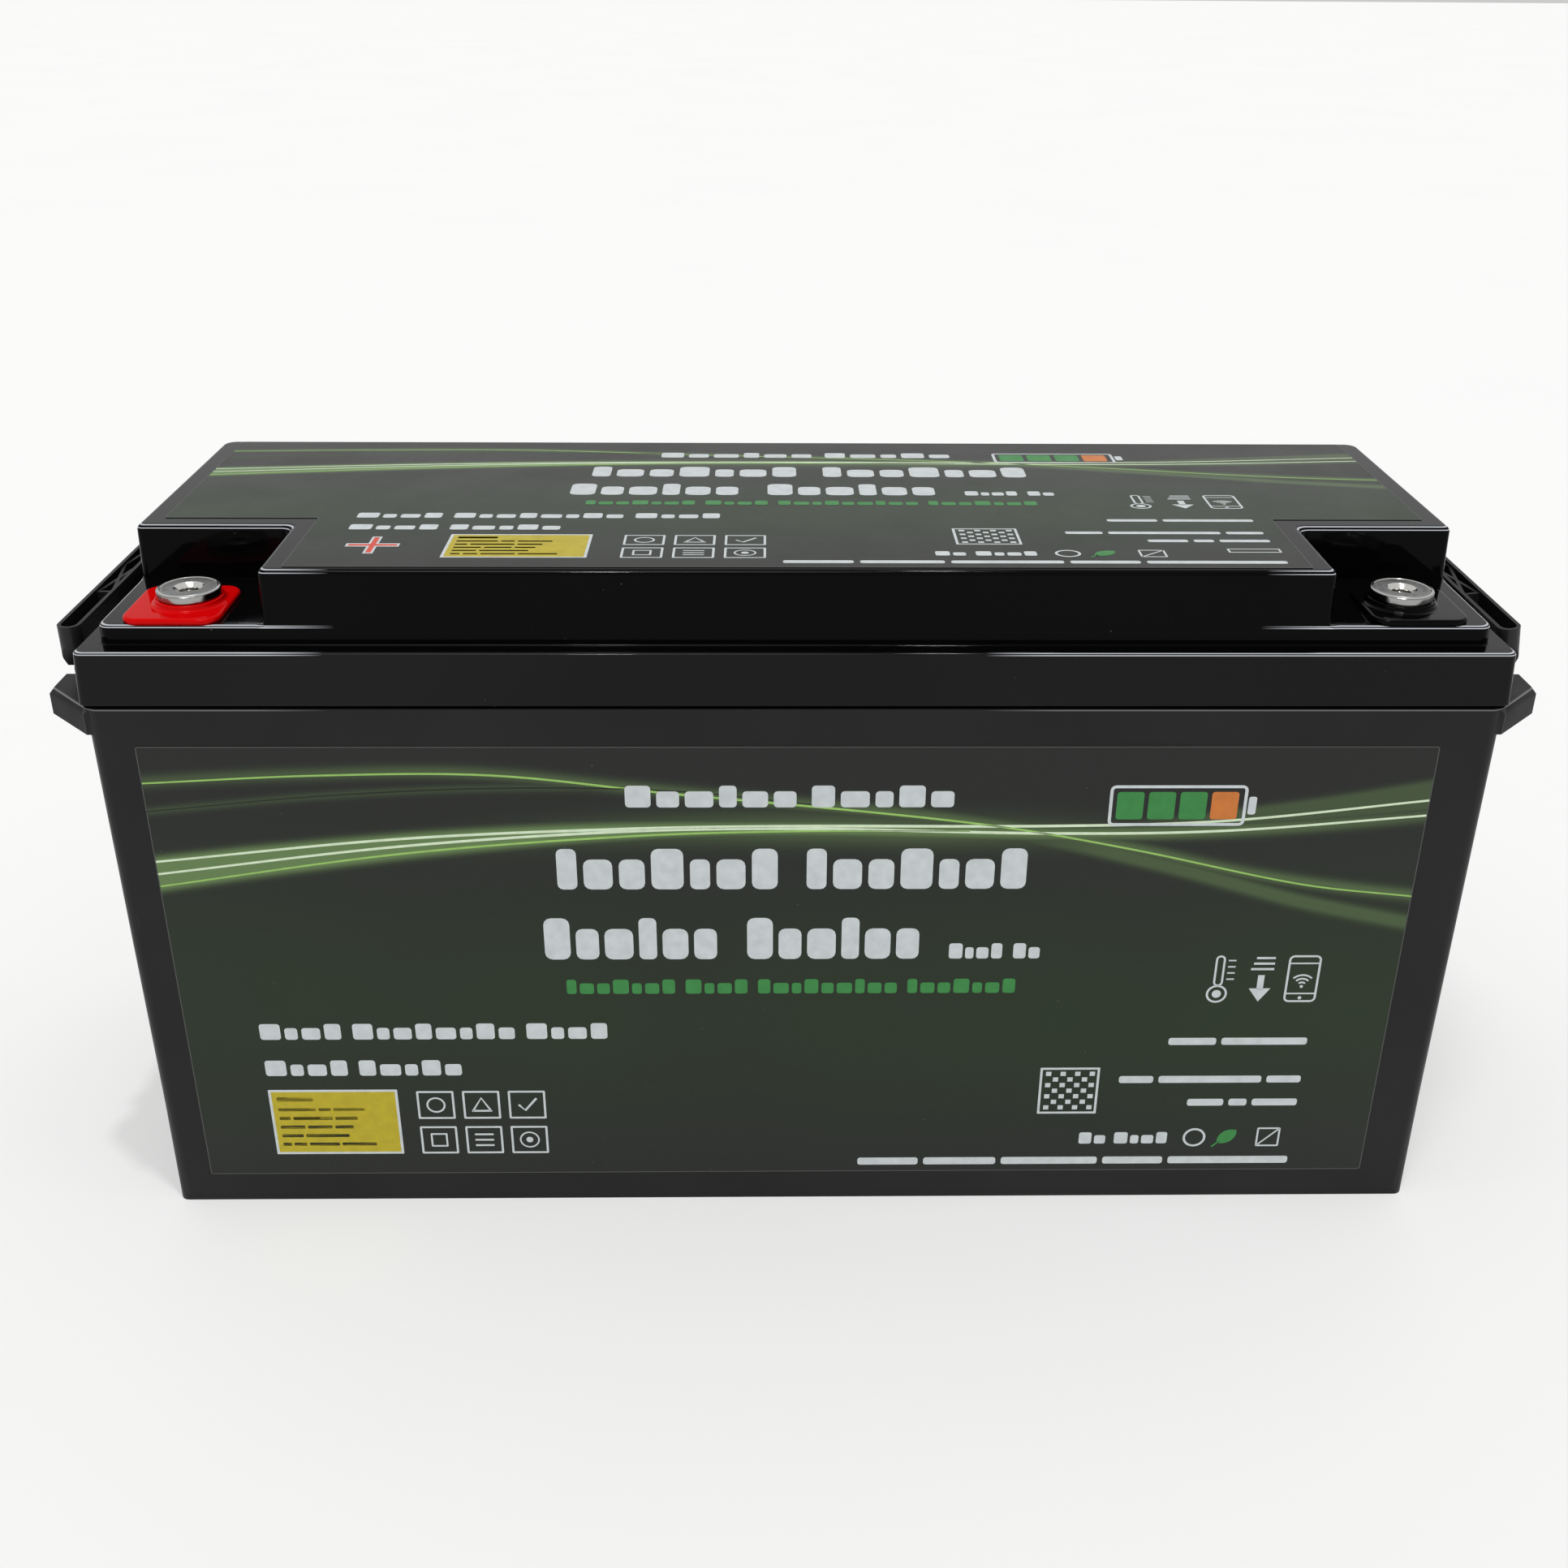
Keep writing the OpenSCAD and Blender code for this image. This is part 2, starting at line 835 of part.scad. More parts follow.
module bms_bracket() {
    color("silver")
    difference() {
        union() {
            translate([bracket_x, -60, 44])
                cube([bracket_t, 120, 141]);
            at_fixings()
                translate([0, 0, pack_x0 + pack_l + end_plate_t])
                    cylinder(r = 4, h = board_x - pack_x0 - pack_l - end_plate_t);
        }
        at_fixings()
            translate([0, 0, board_x - 6])
                cylinder(r = 1.6, h = 7);
    }
}

module bms_board() {
    color(board_green)
    difference() {
        translate([board_x, -board_half_w, board_z0])
            cube([board_t, 2 * board_half_w, board_z1 - board_z0]);
        at_fixings()
            translate([0, 0, board_x - 1])
                cylinder(r = 1.7, h = board_t + 2);
    }
}

// Switching transistors, storage capacitors and the two heavy solder pads
module bms_components() {
    color("darkslategray") {
        for (y = [-44 : 12 : 16], z = [66, 84, 102])
            translate([part_x, y, z])
                cube([4.4, 9, 14]);
        for (y = [-10, 2])
            translate([part_x, y - 4, 150])
                rotate([0, 90, 0])
                    cylinder(r = 4, h = 9);
        for (y = [tap_in_y, tap_out_y])
            difference() {
                translate([part_x, y - 9, tap_z - 12])
                    cube([pad_block_t, 18, 24]);
                translate([part_x - 1, y, tap_z])
                    rotate([0, 90, 0])
                        cylinder(r = stud_m6_r + 0.1, h = pad_block_t + 2);
            }
    }
}

module bms_heat_sink() {
    fin_count = 11;
    fin_pitch = 6.6;
    color("silver")
    translate([part_x + 4.5, -48, 62]) {
        cube([3, 69, 58]);
        for (i = [0 : fin_count - 1])
            translate([2.9, i * fin_pitch, 0])
                cube([10, 1.6, 58]);
    }
}

module bms_screws() {
    color(nickel)
    at_fixings()
        translate([0, 0, board_x - 5]) {
            cylinder(r = 1.5, h = 5 + board_t + 1);
            translate([0, 0, 5 + board_t])
                cylinder(r = 3, h = 2);
        }
}

module wireless_module() {
    color("seagreen")
    translate([part_x, 28, 66]) {
        cube([1.2, 22, 40]);
        translate([1.2, 3, 5])
            cube([2.4, 16, 20]);
    }
}

module balance_plug() {
    color("ivory")
    translate([part_x, plug_y0 - 1.8, plug_z - 10])
        cube([6.4, plug_pins * plug_pitch, 10]);
}

// The last stretch of a thin lead: along its lane and down into the plug
function lane_end(lane) = let (
        lane_y = lane_y0 + lane * lane_pitch,
        pin_y = plug_y0 + lane * plug_pitch
    ) [
        [66, lane_y, wire_z], [76, lane_y + 3, wire_z - 2.5], [84, (lane_y + pin_y) / 2, 199],
        [89, pin_y - 2, 186], [90, pin_y, 176], [90, pin_y, plug_z + 0.1]
    ];

// Bead on the fourth cell with its lead along the row to the control board
module temperature_sensor() {
    x = cell_x(3) + 8;
    color("black") {
        translate([x, 5, cell_top + 0.1])
            cube([9, 5, 3.4]);
        swept_tube(concat([
            [x + 8, lane_y0, cell_top + 1.8], [x + 16, lane_y0, cell_top + 1.6],
            [52, lane_y0, cell_top + 1.6], [59, lane_y0, wire_z - 4]
        ], lane_end(0)), wire_d, 4, 8);
    }
}

// Sensing wire from a busbar to its way in the plug
function sense_route(tap) = let (
        x = pack_x0 + cell_t / 2 + tap.x * pitch,
        lane_y = lane_y0 + tap.z * lane_pitch
    ) concat([
        [x, tap.y * 33, nut_z + 1.1], [x + 3, tap.y * 31, nut_z + 1.6],
        [x + 12, 0.7 * lane_y + 0.3 * tap.y * 33, wire_z], [x + 22, lane_y, wire_z]
    ], lane_end(tap.z));

module balance_harness() {
    color("crimson")
    for (tap = sense_taps)
        swept_tube(sense_route(tap), wire_d, 4, 8);
}

// ---------------------------------------------------------------- power leads

// Crimped ring terminal: the ring's hole is at the origin, the barrel runs along +X
module ring_lug(hole_r, half_w_lug, neck) {
    difference() {
        union() {
            translate([-half_w_lug, -half_w_lug, 0])
                cube([half_w_lug + neck + lug_barrel_l, 2 * half_w_lug, lug_t]);
            translate([neck, 0, lug_barrel_r])
                rotate([0, 90, 0])
                    cylinder(r = lug_barrel_r, h = lug_barrel_l);
        }
        translate([0, 0, -1])
            cylinder(r = hole_r, h = lug_t + 2);
    }
}

module cable_lugs() {
    color("silver") {
        translate([negative_tap_x, tap_y, nut_z])
            ring_lug(stud_m6_r + 0.15, 7, 11);
        for (y = [tap_in_y, tap_out_y])
            translate([part_x + pad_block_t, y, tap_z])
                rotate([0, 90, 0])
                    rotate([0, 0, 180])
                        ring_lug(stud_m6_r + 0.15, 7, 11);
        translate([terminal_x, terminal_y, stack_z - washer_t])
            rotate([0, 0, 90])
                mirror([0, 0, 1])
                    ring_lug(stud_r + 0.15, 9.5, 15);
    }
}

module cable_bolts() {
    color(nickel)
    for (y = [tap_in_y, tap_out_y])
        translate([part_x + 0.2, y, tap_z])
            rotate([0, 90, 0]) {
                cylinder(r = stud_m6_r, h = pad_block_t + lug_t);
                translate([0, 0, pad_block_t + lug_t - 0.2])
                    cylinder(r = nut_af / 2 / cos(30), h = 4, $fn = 6);
            }
}

module cable_cell_negative() {
    color("black")
    swept_tube(route_cell_negative, cable_d, 5, 12);
}

module cable_pack_negative() {
    color("black")
    swept_tube(route_pack_negative, cable_d, 4, 12);
}

// Bent copper strip from the cell row's positive end up to the positive terminal
module positive_link() {
    top_z = stack_z - washer_t;
    x_up = -terminal_x + 13.5;
    x_foot = positive_tap_x - 9;
    color(copper)
    difference() {
        translate([0, tap_y + 10, 0])
            rotate([90, 0, 0])
                linear_extrude(20)
                    polygon([
                        [-terminal_x - 11, top_z], [x_up + 1, top_z], [x_foot + 1, nut_z + lug_t],
                        [positive_tap_x + 9, nut_z + lug_t], [positive_tap_x + 9, nut_z],
                        [x_foot, nut_z], [x_up, top_z - lug_t], [-terminal_x - 11, top_z - lug_t]
                    ]);
        translate([-terminal_x, terminal_y, top_z - lug_t - 1])
            cylinder(r = stud_r + 0.15, h = lug_t + 2);
        translate([positive_tap_x, tap_y, nut_z - 1])
            cylinder(r = stud_m6_r + 0.15, h = lug_t + 2);
    }
}

// ---------------------------------------------------------------- nodes

container();
lid();
lid_seal();
terminal_base_positive();
terminal_base_negative();
terminal_gaskets();
terminal_positive();
terminal_negative();
terminal_washers();
terminal_nuts();
handle_left();
handle_right();
front_label();
top_label();
cell_can(0);  // cell_1
cell_can(1);  // cell_2
cell_can(2);  // cell_3
cell_can(3);  // cell_4
cell_can(4);  // cell_5
cell_can(5);  // cell_6
cell_can(6);  // cell_7
cell_can(7);  // cell_8
cell_spacers();
cell_end_plates();
cell_straps();
busbars();
busbar_nuts();
insulation_board();
base_foam_pad();
side_foam_pads();
end_foam_pads();
bms_bracket();
bms_board();
bms_components();
bms_heat_sink();
bms_screws();
wireless_module();
temperature_sensor();
balance_plug();
balance_harness();
positive_link();
cable_cell_negative();
cable_pack_negative();
cable_lugs();
cable_bolts();
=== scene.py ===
"""A sealed deep cycle battery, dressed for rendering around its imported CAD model.

The frame holds every solid at its real size. This script gives each one a material, and
builds the visible outside again with rounded edges: the container, the stepped lid, the
terminals, the handles and the two printed films. Lengths named _mm are in millimetres.
"""

import math

import bmesh
import bpy
from mathutils import Matrix, Vector


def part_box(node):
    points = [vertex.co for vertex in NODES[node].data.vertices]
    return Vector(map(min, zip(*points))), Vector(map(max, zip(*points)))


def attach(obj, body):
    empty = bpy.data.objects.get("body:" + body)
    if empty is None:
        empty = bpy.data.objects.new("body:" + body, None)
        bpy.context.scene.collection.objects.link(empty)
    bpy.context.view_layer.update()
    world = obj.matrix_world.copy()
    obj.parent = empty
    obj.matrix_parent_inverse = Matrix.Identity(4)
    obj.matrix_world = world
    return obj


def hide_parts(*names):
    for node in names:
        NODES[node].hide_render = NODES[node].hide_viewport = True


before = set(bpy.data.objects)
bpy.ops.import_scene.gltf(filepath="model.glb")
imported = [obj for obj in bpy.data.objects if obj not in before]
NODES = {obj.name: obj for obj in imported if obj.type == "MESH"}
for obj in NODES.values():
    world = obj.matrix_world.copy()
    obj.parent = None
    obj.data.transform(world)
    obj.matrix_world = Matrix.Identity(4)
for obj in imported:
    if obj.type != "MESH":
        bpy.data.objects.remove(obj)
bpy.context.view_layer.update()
SCENE = bpy.context.scene
MM = 0.001
CASE = "case"

# Contact discs: radii of the flat face, the stamped band and the disc's side
FACE_MM = (5.1, 9.3)
BAND_MM = (6.7, 8.5)
SIDE_MM = 10.35
STAMPED_TICKS = 44


# ---------------- materials

class Graph:
    """One material's node tree, with a short call for each kind of node."""

    def __init__(self, name):
        self.material = bpy.data.materials.new(name)
        self.material.use_nodes = True
        self.tree = self.material.node_tree
        self.tree.nodes.clear()
        self.shader = self.add("ShaderNodeBsdfPrincipled")
        output = self.add("ShaderNodeOutputMaterial")
        self.tree.links.new(self.shader.outputs["BSDF"], output.inputs["Surface"])
        self.place = self.add("ShaderNodeTexCoord").outputs["Object"]

    def add(self, kind, **values):
        node = self.tree.nodes.new(kind)
        for key, value in values.items():
            setattr(node, key, value)
        return node

    def feed(self, socket, value):
        """Links a socket to another one, or sets it to a plain value."""
        if isinstance(value, bpy.types.NodeSocket):
            self.tree.links.new(value, socket)
        else:
            socket.default_value = value

    def set(self, **inputs):
        """Sets the shader's inputs: set(Base_Color=..., Roughness=...)."""
        for key, value in inputs.items():
            self.feed(self.shader.inputs[key.replace("_", " ")], value)

    def math(self, operation, first, second=0.0, third=0.0):
        node = self.add("ShaderNodeMath", operation=operation)
        for socket, value in zip(node.inputs, (first, second, third)):
            self.feed(socket, value)
        return node.outputs[0]

    def times(self, *values):
        """Product of two or more values."""
        product = values[0]
        for value in values[1:]:
            product = self.math("MULTIPLY", product, value)
        return product

    def bell(self, value):
        """1 where the value is 0, falling softly to 0 on both sides."""
        return self.math("EXPONENT", self.times(value, value, -1.0))

    def between(self, value, low, high):
        return self.math("COMPARE", value, (low + high) / 2, (high - low) / 2)

    def axes(self, vector):
        """The X, Y and Z outputs of a vector."""
        node = self.add("ShaderNodeSeparateXYZ")
        self.feed(node.inputs[0], vector)
        return node.outputs

    def stretched(self, scale):
        """The object's coordinates, scaled along each axis."""
        node = self.add("ShaderNodeMapping")
        self.feed(node.inputs["Vector"], self.place)
        node.inputs["Scale"].default_value = scale
        return node.outputs["Vector"]

    def facing_up(self):
        """How far the surface faces upwards, from -1 to 1."""
        return self.axes(self.add("ShaderNodeTexCoord").outputs["Normal"])["Z"]

    def noise(self, scale, detail=2.0, roughness=0.5, place=None):
        node = self.add("ShaderNodeTexNoise")
        self.feed(node.inputs["Vector"], place or self.place)
        node.inputs["Scale"].default_value = scale
        node.inputs["Detail"].default_value = detail
        node.inputs["Roughness"].default_value = roughness
        return node.outputs["Fac"]

    def spots(self, scale):
        """Distance to the nearest of many scattered points."""
        node = self.add("ShaderNodeTexVoronoi")
        self.feed(node.inputs["Vector"], self.place)
        node.inputs["Scale"].default_value = scale
        return node.outputs["Distance"]

    def remap(self, value, low, high, to_low, to_high):
        node = self.add("ShaderNodeMapRange")
        for socket, given in zip(node.inputs, (value, low, high, to_low, to_high)):
            self.feed(socket, given)
        return node.outputs[0]

    def mix(self, factor, first, second):
        """Blend of two colours, each a socket or (red, green, blue)."""
        node = self.add("ShaderNodeMix", data_type="RGBA")
        self.feed(node.inputs[0], factor)
        for socket, colour in zip(node.inputs[6:8], (first, second)):
            self.feed(socket, colour if isinstance(colour, bpy.types.NodeSocket) else (*colour, 1))
        return node.outputs[2]

    def bump(self, height, strength, distance, normal=None):
        node = self.add("ShaderNodeBump")
        node.inputs["Strength"].default_value = strength
        node.inputs["Distance"].default_value = distance
        self.feed(node.inputs["Height"], height)
        if normal is not None:
            self.feed(node.inputs["Normal"], normal)
        return node.outputs["Normal"]

    def level_lines(self, lines):
        """1 on thin level lines, each (low, high, middle_x, reach, max_y) in metres: the
        heights it lies between, the stretch it is left out of, which runs for reach to
        both sides of middle_x, and how far back it goes."""
        fade = 25 * MM
        place = self.axes(self.place)
        mask = None
        for low, high, middle_x, reach, max_y in lines:
            away = self.math("ABSOLUTE", self.math("SUBTRACT", place["X"], middle_x))
            ends = self.remap(away, reach - fade, reach, 0.0, 1.0)
            forward = self.math("LESS_THAN", place["Y"], max_y)
            line = self.times(self.between(place["Z"], low, high), ends, forward)
            mask = line if mask is None else self.math("MAXIMUM", mask, line)
        return mask


def moulded(name, dark, light, rough, grain_mm, specular=0.35, bump=0.12, highlight_lines=(), dull_beyond=None):
    """Moulded plastic: a fine spark-eroded grain, faint clouds and a few dry rub marks.
    The level lines it is given are painted pale, a painted highlight. Upright faces
    further out than dull_beyond, in metres, shine less than the rest."""
    g = Graph(name)
    clouds = g.noise(14, detail=4)
    grain = g.noise(1 / (grain_mm * MM), detail=1)
    colour = g.mix(g.remap(clouds, 0.35, 0.65, 0.0, 1.0), dark, light)
    rubs = g.remap(g.noise(260, detail=2, place=g.stretched((1.0, 1.0, 0.08))), 0.68, 0.74, 0.0, 1.0)
    scuffs = g.times(rubs, g.remap(g.noise(18), 0.5, 0.7, 0.0, 0.3))
    rub_colour = tuple(2.2 * c + 0.01 for c in light)
    shine = specular
    if dull_beyond is not None:
        out = g.math("GREATER_THAN", g.math("ABSOLUTE", g.axes(g.place)["X"]), dull_beyond)
        upright = g.math("LESS_THAN", g.facing_up(), 0.5)
        shine = g.remap(g.times(out, upright), 0.0, 1.0, specular, 0.25 * specular)
    if highlight_lines:
        # Painted highlight: pale lines at the given heights.
        colour = g.mix(g.level_lines(highlight_lines), colour, (0.13, 0.13, 0.14))
    patchy = g.remap(g.noise(35, detail=5, roughness=0.65), 0.3, 0.7, rough - 0.05, rough + 0.07)
    g.set(
        Base_Color=g.mix(scuffs, colour, rub_colour),
        Roughness=patchy,
        Specular_IOR_Level=shine,
        Normal=g.bump(grain, bump, 0.05 * MM),
    )
    return g.material


def glossy(name, dark, light, rough, specular, top_specular=None, sheen_below=None,
           tint=(0.0, 0.0, 0.0), painted_highlights=(), groove=None):
    """Polished moulding: slight waves from shrinkage, hairline marks and settled dust.
    Level faces shine by top_specular, and the highlight lines it is given are painted
    pale and metallic, a painted highlight. Below the sheen's height it has a painted sheen
    of a paler colour, and below groove it has no shine, a painted shade; a material has
    both of these heights, in metres, or neither."""
    g = Graph(name)
    waves = g.noise(11, detail=1)
    hairlines = g.noise(420, detail=2, place=g.stretched((1.0, 9.0, 9.0)))
    dust = g.remap(g.spots(230), 0.03, 0.07, 1.0, 0.0)
    sparse = g.times(dust, g.remap(g.noise(60), 0.6, 0.68, 0.0, 1.0))
    colour = g.mix(g.noise(9), dark, light)
    shine = specular
    if top_specular is not None:
        shine = g.remap(g.facing_up(), 0.8, 0.98, specular, top_specular)
    # Painted sheen: below the ledge the skirt is painted paler, standing in for the reflection it shows.
    if sheen_below is not None:
        height = g.axes(g.place)["Z"]
        above = g.math("GREATER_THAN", height, groove)
        lower = g.remap(height, sheen_below - 0.5 * MM, sheen_below, 1.0, 0.0)
        painted_sheen = g.times(lower, g.remap(g.noise(6, detail=1), 0.35, 0.65, 0.7, 1.0), above)
        colour = g.mix(painted_sheen, colour, tint)
        # Painted shade: no shine below the groove's top, so the gap under the skirt stays dark.
        shine = g.times(shine, above)
    smears = g.remap(g.noise(24, detail=4, roughness=0.7), 0.45, 0.75, rough, rough + 0.09)
    # Painted highlight: thin lines on the rolled edges are painted pale and made metallic.
    if painted_highlights:
        lines = g.level_lines(painted_highlights)
        colour = g.mix(lines, colour, (0.86, 0.89, 0.95))
        g.set(Metallic=lines)
    g.set(
        Base_Color=g.mix(g.times(sparse, 0.16), colour, (0.5, 0.5, 0.48)),
        Roughness=g.math("ADD", smears, g.times(sparse, 0.4)),
        Specular_IOR_Level=shine,
        Normal=g.bump(hairlines, 0.02, 0.02 * MM, g.bump(waves, 0.08, 0.8 * MM)),
    )
    return g.material


def metal(name, dark, light, rough, brushed=(1.0, 1.0, 1.0)):
    """Bare or plated metal, brushed along the axis whose scale is least."""
    g = Graph(name)
    lines = g.noise(900, detail=3, place=g.stretched(brushed))
    tarnish = g.noise(45, detail=4)
    g.set(
        Base_Color=g.mix(g.remap(tarnish, 0.35, 0.7, 0.0, 1.0), light, dark),
        Metallic=1.0,
        Roughness=g.remap(lines, 0.3, 0.7, rough - 0.07, rough + 0.1),
        Normal=g.bump(lines, 0.08, 0.03 * MM),
    )
    return g.material


def turned_nickel(name, axis_x, axis_y):
    """Plated contact disc, turned on a lathe: rings round its axis, a stamped band and a
    side painted darker, a painted shade that dims what it reflects."""
    g = Graph(name)
    place = g.axes(g.place)
    x, y = g.math("SUBTRACT", place["X"], axis_x), g.math("SUBTRACT", place["Y"], axis_y)
    radius = g.math("SQRT", g.math("ADD", g.times(x, x), g.times(y, y)))
    ring_place = g.add("ShaderNodeCombineXYZ")
    g.feed(ring_place.inputs["X"], radius)
    rings = g.noise(5200, detail=2, place=ring_place.outputs[0])
    turn = g.times(g.math("ARCTAN2", y, x), STAMPED_TICKS / math.tau)
    ticks = g.math("GREATER_THAN", g.math("FRACT", turn), 0.45)
    band = g.between(radius, BAND_MM[0] * MM, BAND_MM[1] * MM)
    stamped = g.times(band, ticks, g.remap(g.noise(520, detail=0), 0.46, 0.50, 0.0, 1.0))
    stain = g.remap(g.noise(120, detail=3), 0.35, 0.75, 0.0, 1.0)
    height = g.math("SUBTRACT", g.times(rings, 0.12), stamped)
    face = g.between(radius, FACE_MM[0] * MM, FACE_MM[1] * MM)
    ground = g.mix(stain, (0.44, 0.45, 0.44), (0.34, 0.35, 0.34))
    clean = g.mix(face, (0.82, 0.81, 0.78), ground)
    # Painted shade: the disc's side is painted a darker grey, dimming what it reflects.
    clean = g.mix(g.math("GREATER_THAN", radius, SIDE_MM * MM), clean, (0.36, 0.36, 0.35))
    g.set(
        Base_Color=g.mix(g.times(stamped, 0.6), clean, (0.16, 0.16, 0.16)),
        Metallic=1.0,
        Roughness=g.math("ADD", g.times(face, 0.22), g.remap(rings, 0.3, 0.7, 0.10, 0.18)),
        Normal=g.bump(height, 0.35, 0.08 * MM),
    )
    return g.material


def ink(name, colour, rough=0.34):
    """Screen-printed ink, with the slight mottle of a thin coat."""
    g = Graph(name)
    thin = tuple(0.86 * c for c in colour)
    g.set(
        Base_Color=g.mix(g.remap(g.noise(240, detail=4), 0.35, 0.7, 0.0, 1.0), colour, thin),
        Roughness=g.remap(g.noise(90, detail=3), 0.3, 0.7, rough - 0.05, rough + 0.06),
        Specular_IOR_Level=0.3,
        Normal=g.bump(g.noise(1500), 0.05, 0.02 * MM),
    )
    return g.material


def soft_sheet(name, dark, light, rough, cell_mm, bump):
    """Foam, rubber or fibre sheet with an open texture of about cell_mm."""
    g = Graph(name)
    cells = g.spots(1 / (cell_mm * MM))
    g.set(
        Base_Color=g.mix(g.remap(g.noise(70, detail=5), 0.3, 0.7, 0.0, 1.0), dark, light),
        Roughness=g.remap(cells, 0.0, 0.8, rough - 0.08, rough + 0.05),
        Specular_IOR_Level=0.25,
        Normal=g.bump(cells, bump, 0.3 * cell_mm * MM),
    )
    return g.material


# ---------------- printed design

# The print's own coordinates: x along the case and z up the front face, in millimetres
DESIGN_X = (-225.0, 220.0)
DESIGN_Z = (13.0, 197.0)
DESIGN_W = DESIGN_X[1] - DESIGN_X[0]
DESIGN_H = DESIGN_Z[1] - DESIGN_Z[0]
DESIGN_MIDDLE = ((DESIGN_X[0] + DESIGN_X[1]) / 2, (DESIGN_Z[0] + DESIGN_Z[1]) / 2)

# Centre lines of the streaks and of the bands of light
ARCH = [(-225, 183), (-165, 186), (-105, 186), (-45, 179), (30, 171), (75, 165), (120, 156),
        (180, 142), (220, 137)]
SHADE = [(-225, 172), (-165, 178), (-105, 181), (-45, 180), (10, 174)]
BRIGHT = [(-225, 152), (-140, 161), (-60, 165), (0, 166), (90, 166), (150, 168), (220, 176)]
MIDDLE = [(-225, 147), (-140, 158), (-60, 164), (0, 165), (90, 163), (150, 164), (220, 170)]
LOWER = [(-225, 142), (-140, 155), (-60, 162), (0, 164), (60, 164)]
WEDGE = [(-225, 165), (90, 165), (150, 169), (220, 178)]
BAND = [(60, 165), (95, 159), (140, 147), (180, 135), (220, 126)]


def along(points, x):
    """Height of a streak's centre line at x, on a smooth curve through its points."""
    for i in range(len(points) - 1):
        if x <= points[i + 1][0] or i == len(points) - 2:
            break
    before, start = points[max(i - 1, 0)], points[i]
    end, after = points[i + 1], points[min(i + 2, len(points) - 1)]
    span = end[0] - start[0]
    t = (x - start[0]) / span
    slope0 = (end[1] - before[1]) / (end[0] - before[0]) * span
    slope1 = (after[1] - start[1]) / (after[0] - start[0]) * span
    return ((2 * t ** 3 - 3 * t ** 2 + 1) * start[1] + (t ** 3 - 2 * t ** 2 + t) * slope0
            + (3 * t ** 2 - 2 * t ** 3) * end[1] + (t ** 3 - t ** 2) * slope1)


def label_film(name):
    """Printed film: a dark green ground with a soft glow round the light streaks."""
    g = Graph(name)
    across, up = g.axes(g.add("ShaderNodeTexCoord").outputs["UV"])[:2]

    def glow(points, reach, flat=0.0, shift=0.0, samples=9):
        """Soft band round a streak: full within flat of its centre line, then fading
        over reach; shift moves it up. All are in millimetres."""
        curve = g.add("ShaderNodeFloatCurve")
        g.feed(curve.inputs["Value"], across)
        knots = curve.mapping.curves[0].points
        first, last = points[0][0], points[-1][0]
        for i in range(samples):
            x = first + (last - first) * i / (samples - 1)
            place = ((x - DESIGN_X[0]) / DESIGN_W, (along(points, x) - DESIGN_Z[0]) / DESIGN_H)
            if i in (0, samples - 1):
                knots[0 if i == 0 else -1].location = place
            else:
                knots.new(*place)
        curve.mapping.update()
        offset = g.times(g.math("SUBTRACT", up, curve.outputs[0]), DESIGN_H)
        outside = g.math("SUBTRACT", g.math("ABSOLUTE", g.math("SUBTRACT", offset, shift)), flat)
        return g.bell(g.math("DIVIDE", g.math("MAXIMUM", outside, 0.0), reach))

    def fade(first, last, before, after):
        return g.remap(across, first, last, before, after)

    light = g.times(glow(MIDDLE, 2.2, fade(0.0, 0.45, 5.0, 0.6)), fade(0.55, 1.0, 1.0, 0.35))
    for part in (
        g.times(glow(MIDDLE, 6.0), fade(0.2, 0.5, 0.0, 0.45), fade(0.6, 0.8, 1.0, 0.0)),
        g.times(glow(ARCH, 2.4, shift=0.6), fade(0.0, 0.6, 0.32, 0.55)),
        g.times(glow(BAND, 2.0, 1.2), fade(0.6, 0.75, 0.0, 0.42)),
        g.times(glow(WEDGE, 1.8, fade(0.75, 1.0, 0.0, 4.5)), fade(0.72, 0.85, 0.0, 0.34)),
        g.times(glow(SHADE, 1.6), fade(0.3, 0.5, 0.22, 0.0)),
    ):
        light = g.math("MAXIMUM", light, part)
    tint = g.bell(g.math("DIVIDE", g.math("SUBTRACT", up, 0.42), 0.28))
    patches = g.remap(g.noise(9, detail=2), 0.3, 0.7, 0.5, 1.0)
    ground = g.mix(g.times(tint, patches), (0.0125, 0.0135, 0.0120), (0.0130, 0.0270, 0.0092))
    dust = g.remap(g.spots(90), 0.012, 0.022, 1.0, 0.0)
    lit = g.mix(light, ground, (0.115, 0.190, 0.070))
    g.set(
        Base_Color=g.mix(g.times(dust, 0.25), lit, (0.4, 0.4, 0.38)),
        Roughness=g.remap(g.noise(30, detail=5, roughness=0.65), 0.3, 0.7, 0.24, 0.34),
        Specular_IOR_Level=0.25,
        Normal=g.bump(g.noise(2600), 0.05, 0.02 * MM, g.bump(g.noise(16, detail=0), 0.04, 0.6 * MM)),
    )
    return g.material


# ---------------- mesh tools

def add_piece(name, mesh, material, body, nodes=(), sharp=35):
    """Puts a mesh in the scene, smooth except at sharp edges, riding on a body."""
    mesh.materials.clear()
    mesh.materials.append(material)
    for polygon in mesh.polygons:
        polygon.use_smooth = True
    mesh.set_sharp_from_angle(angle=math.radians(sharp))
    piece = bpy.data.objects.new(name, mesh)
    SCENE.collection.objects.link(piece)
    even = piece.modifiers.new("even_shading", "WEIGHTED_NORMAL")
    even.keep_sharp = True
    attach(piece, body)
    if nodes:
        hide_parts(*nodes)
    return piece


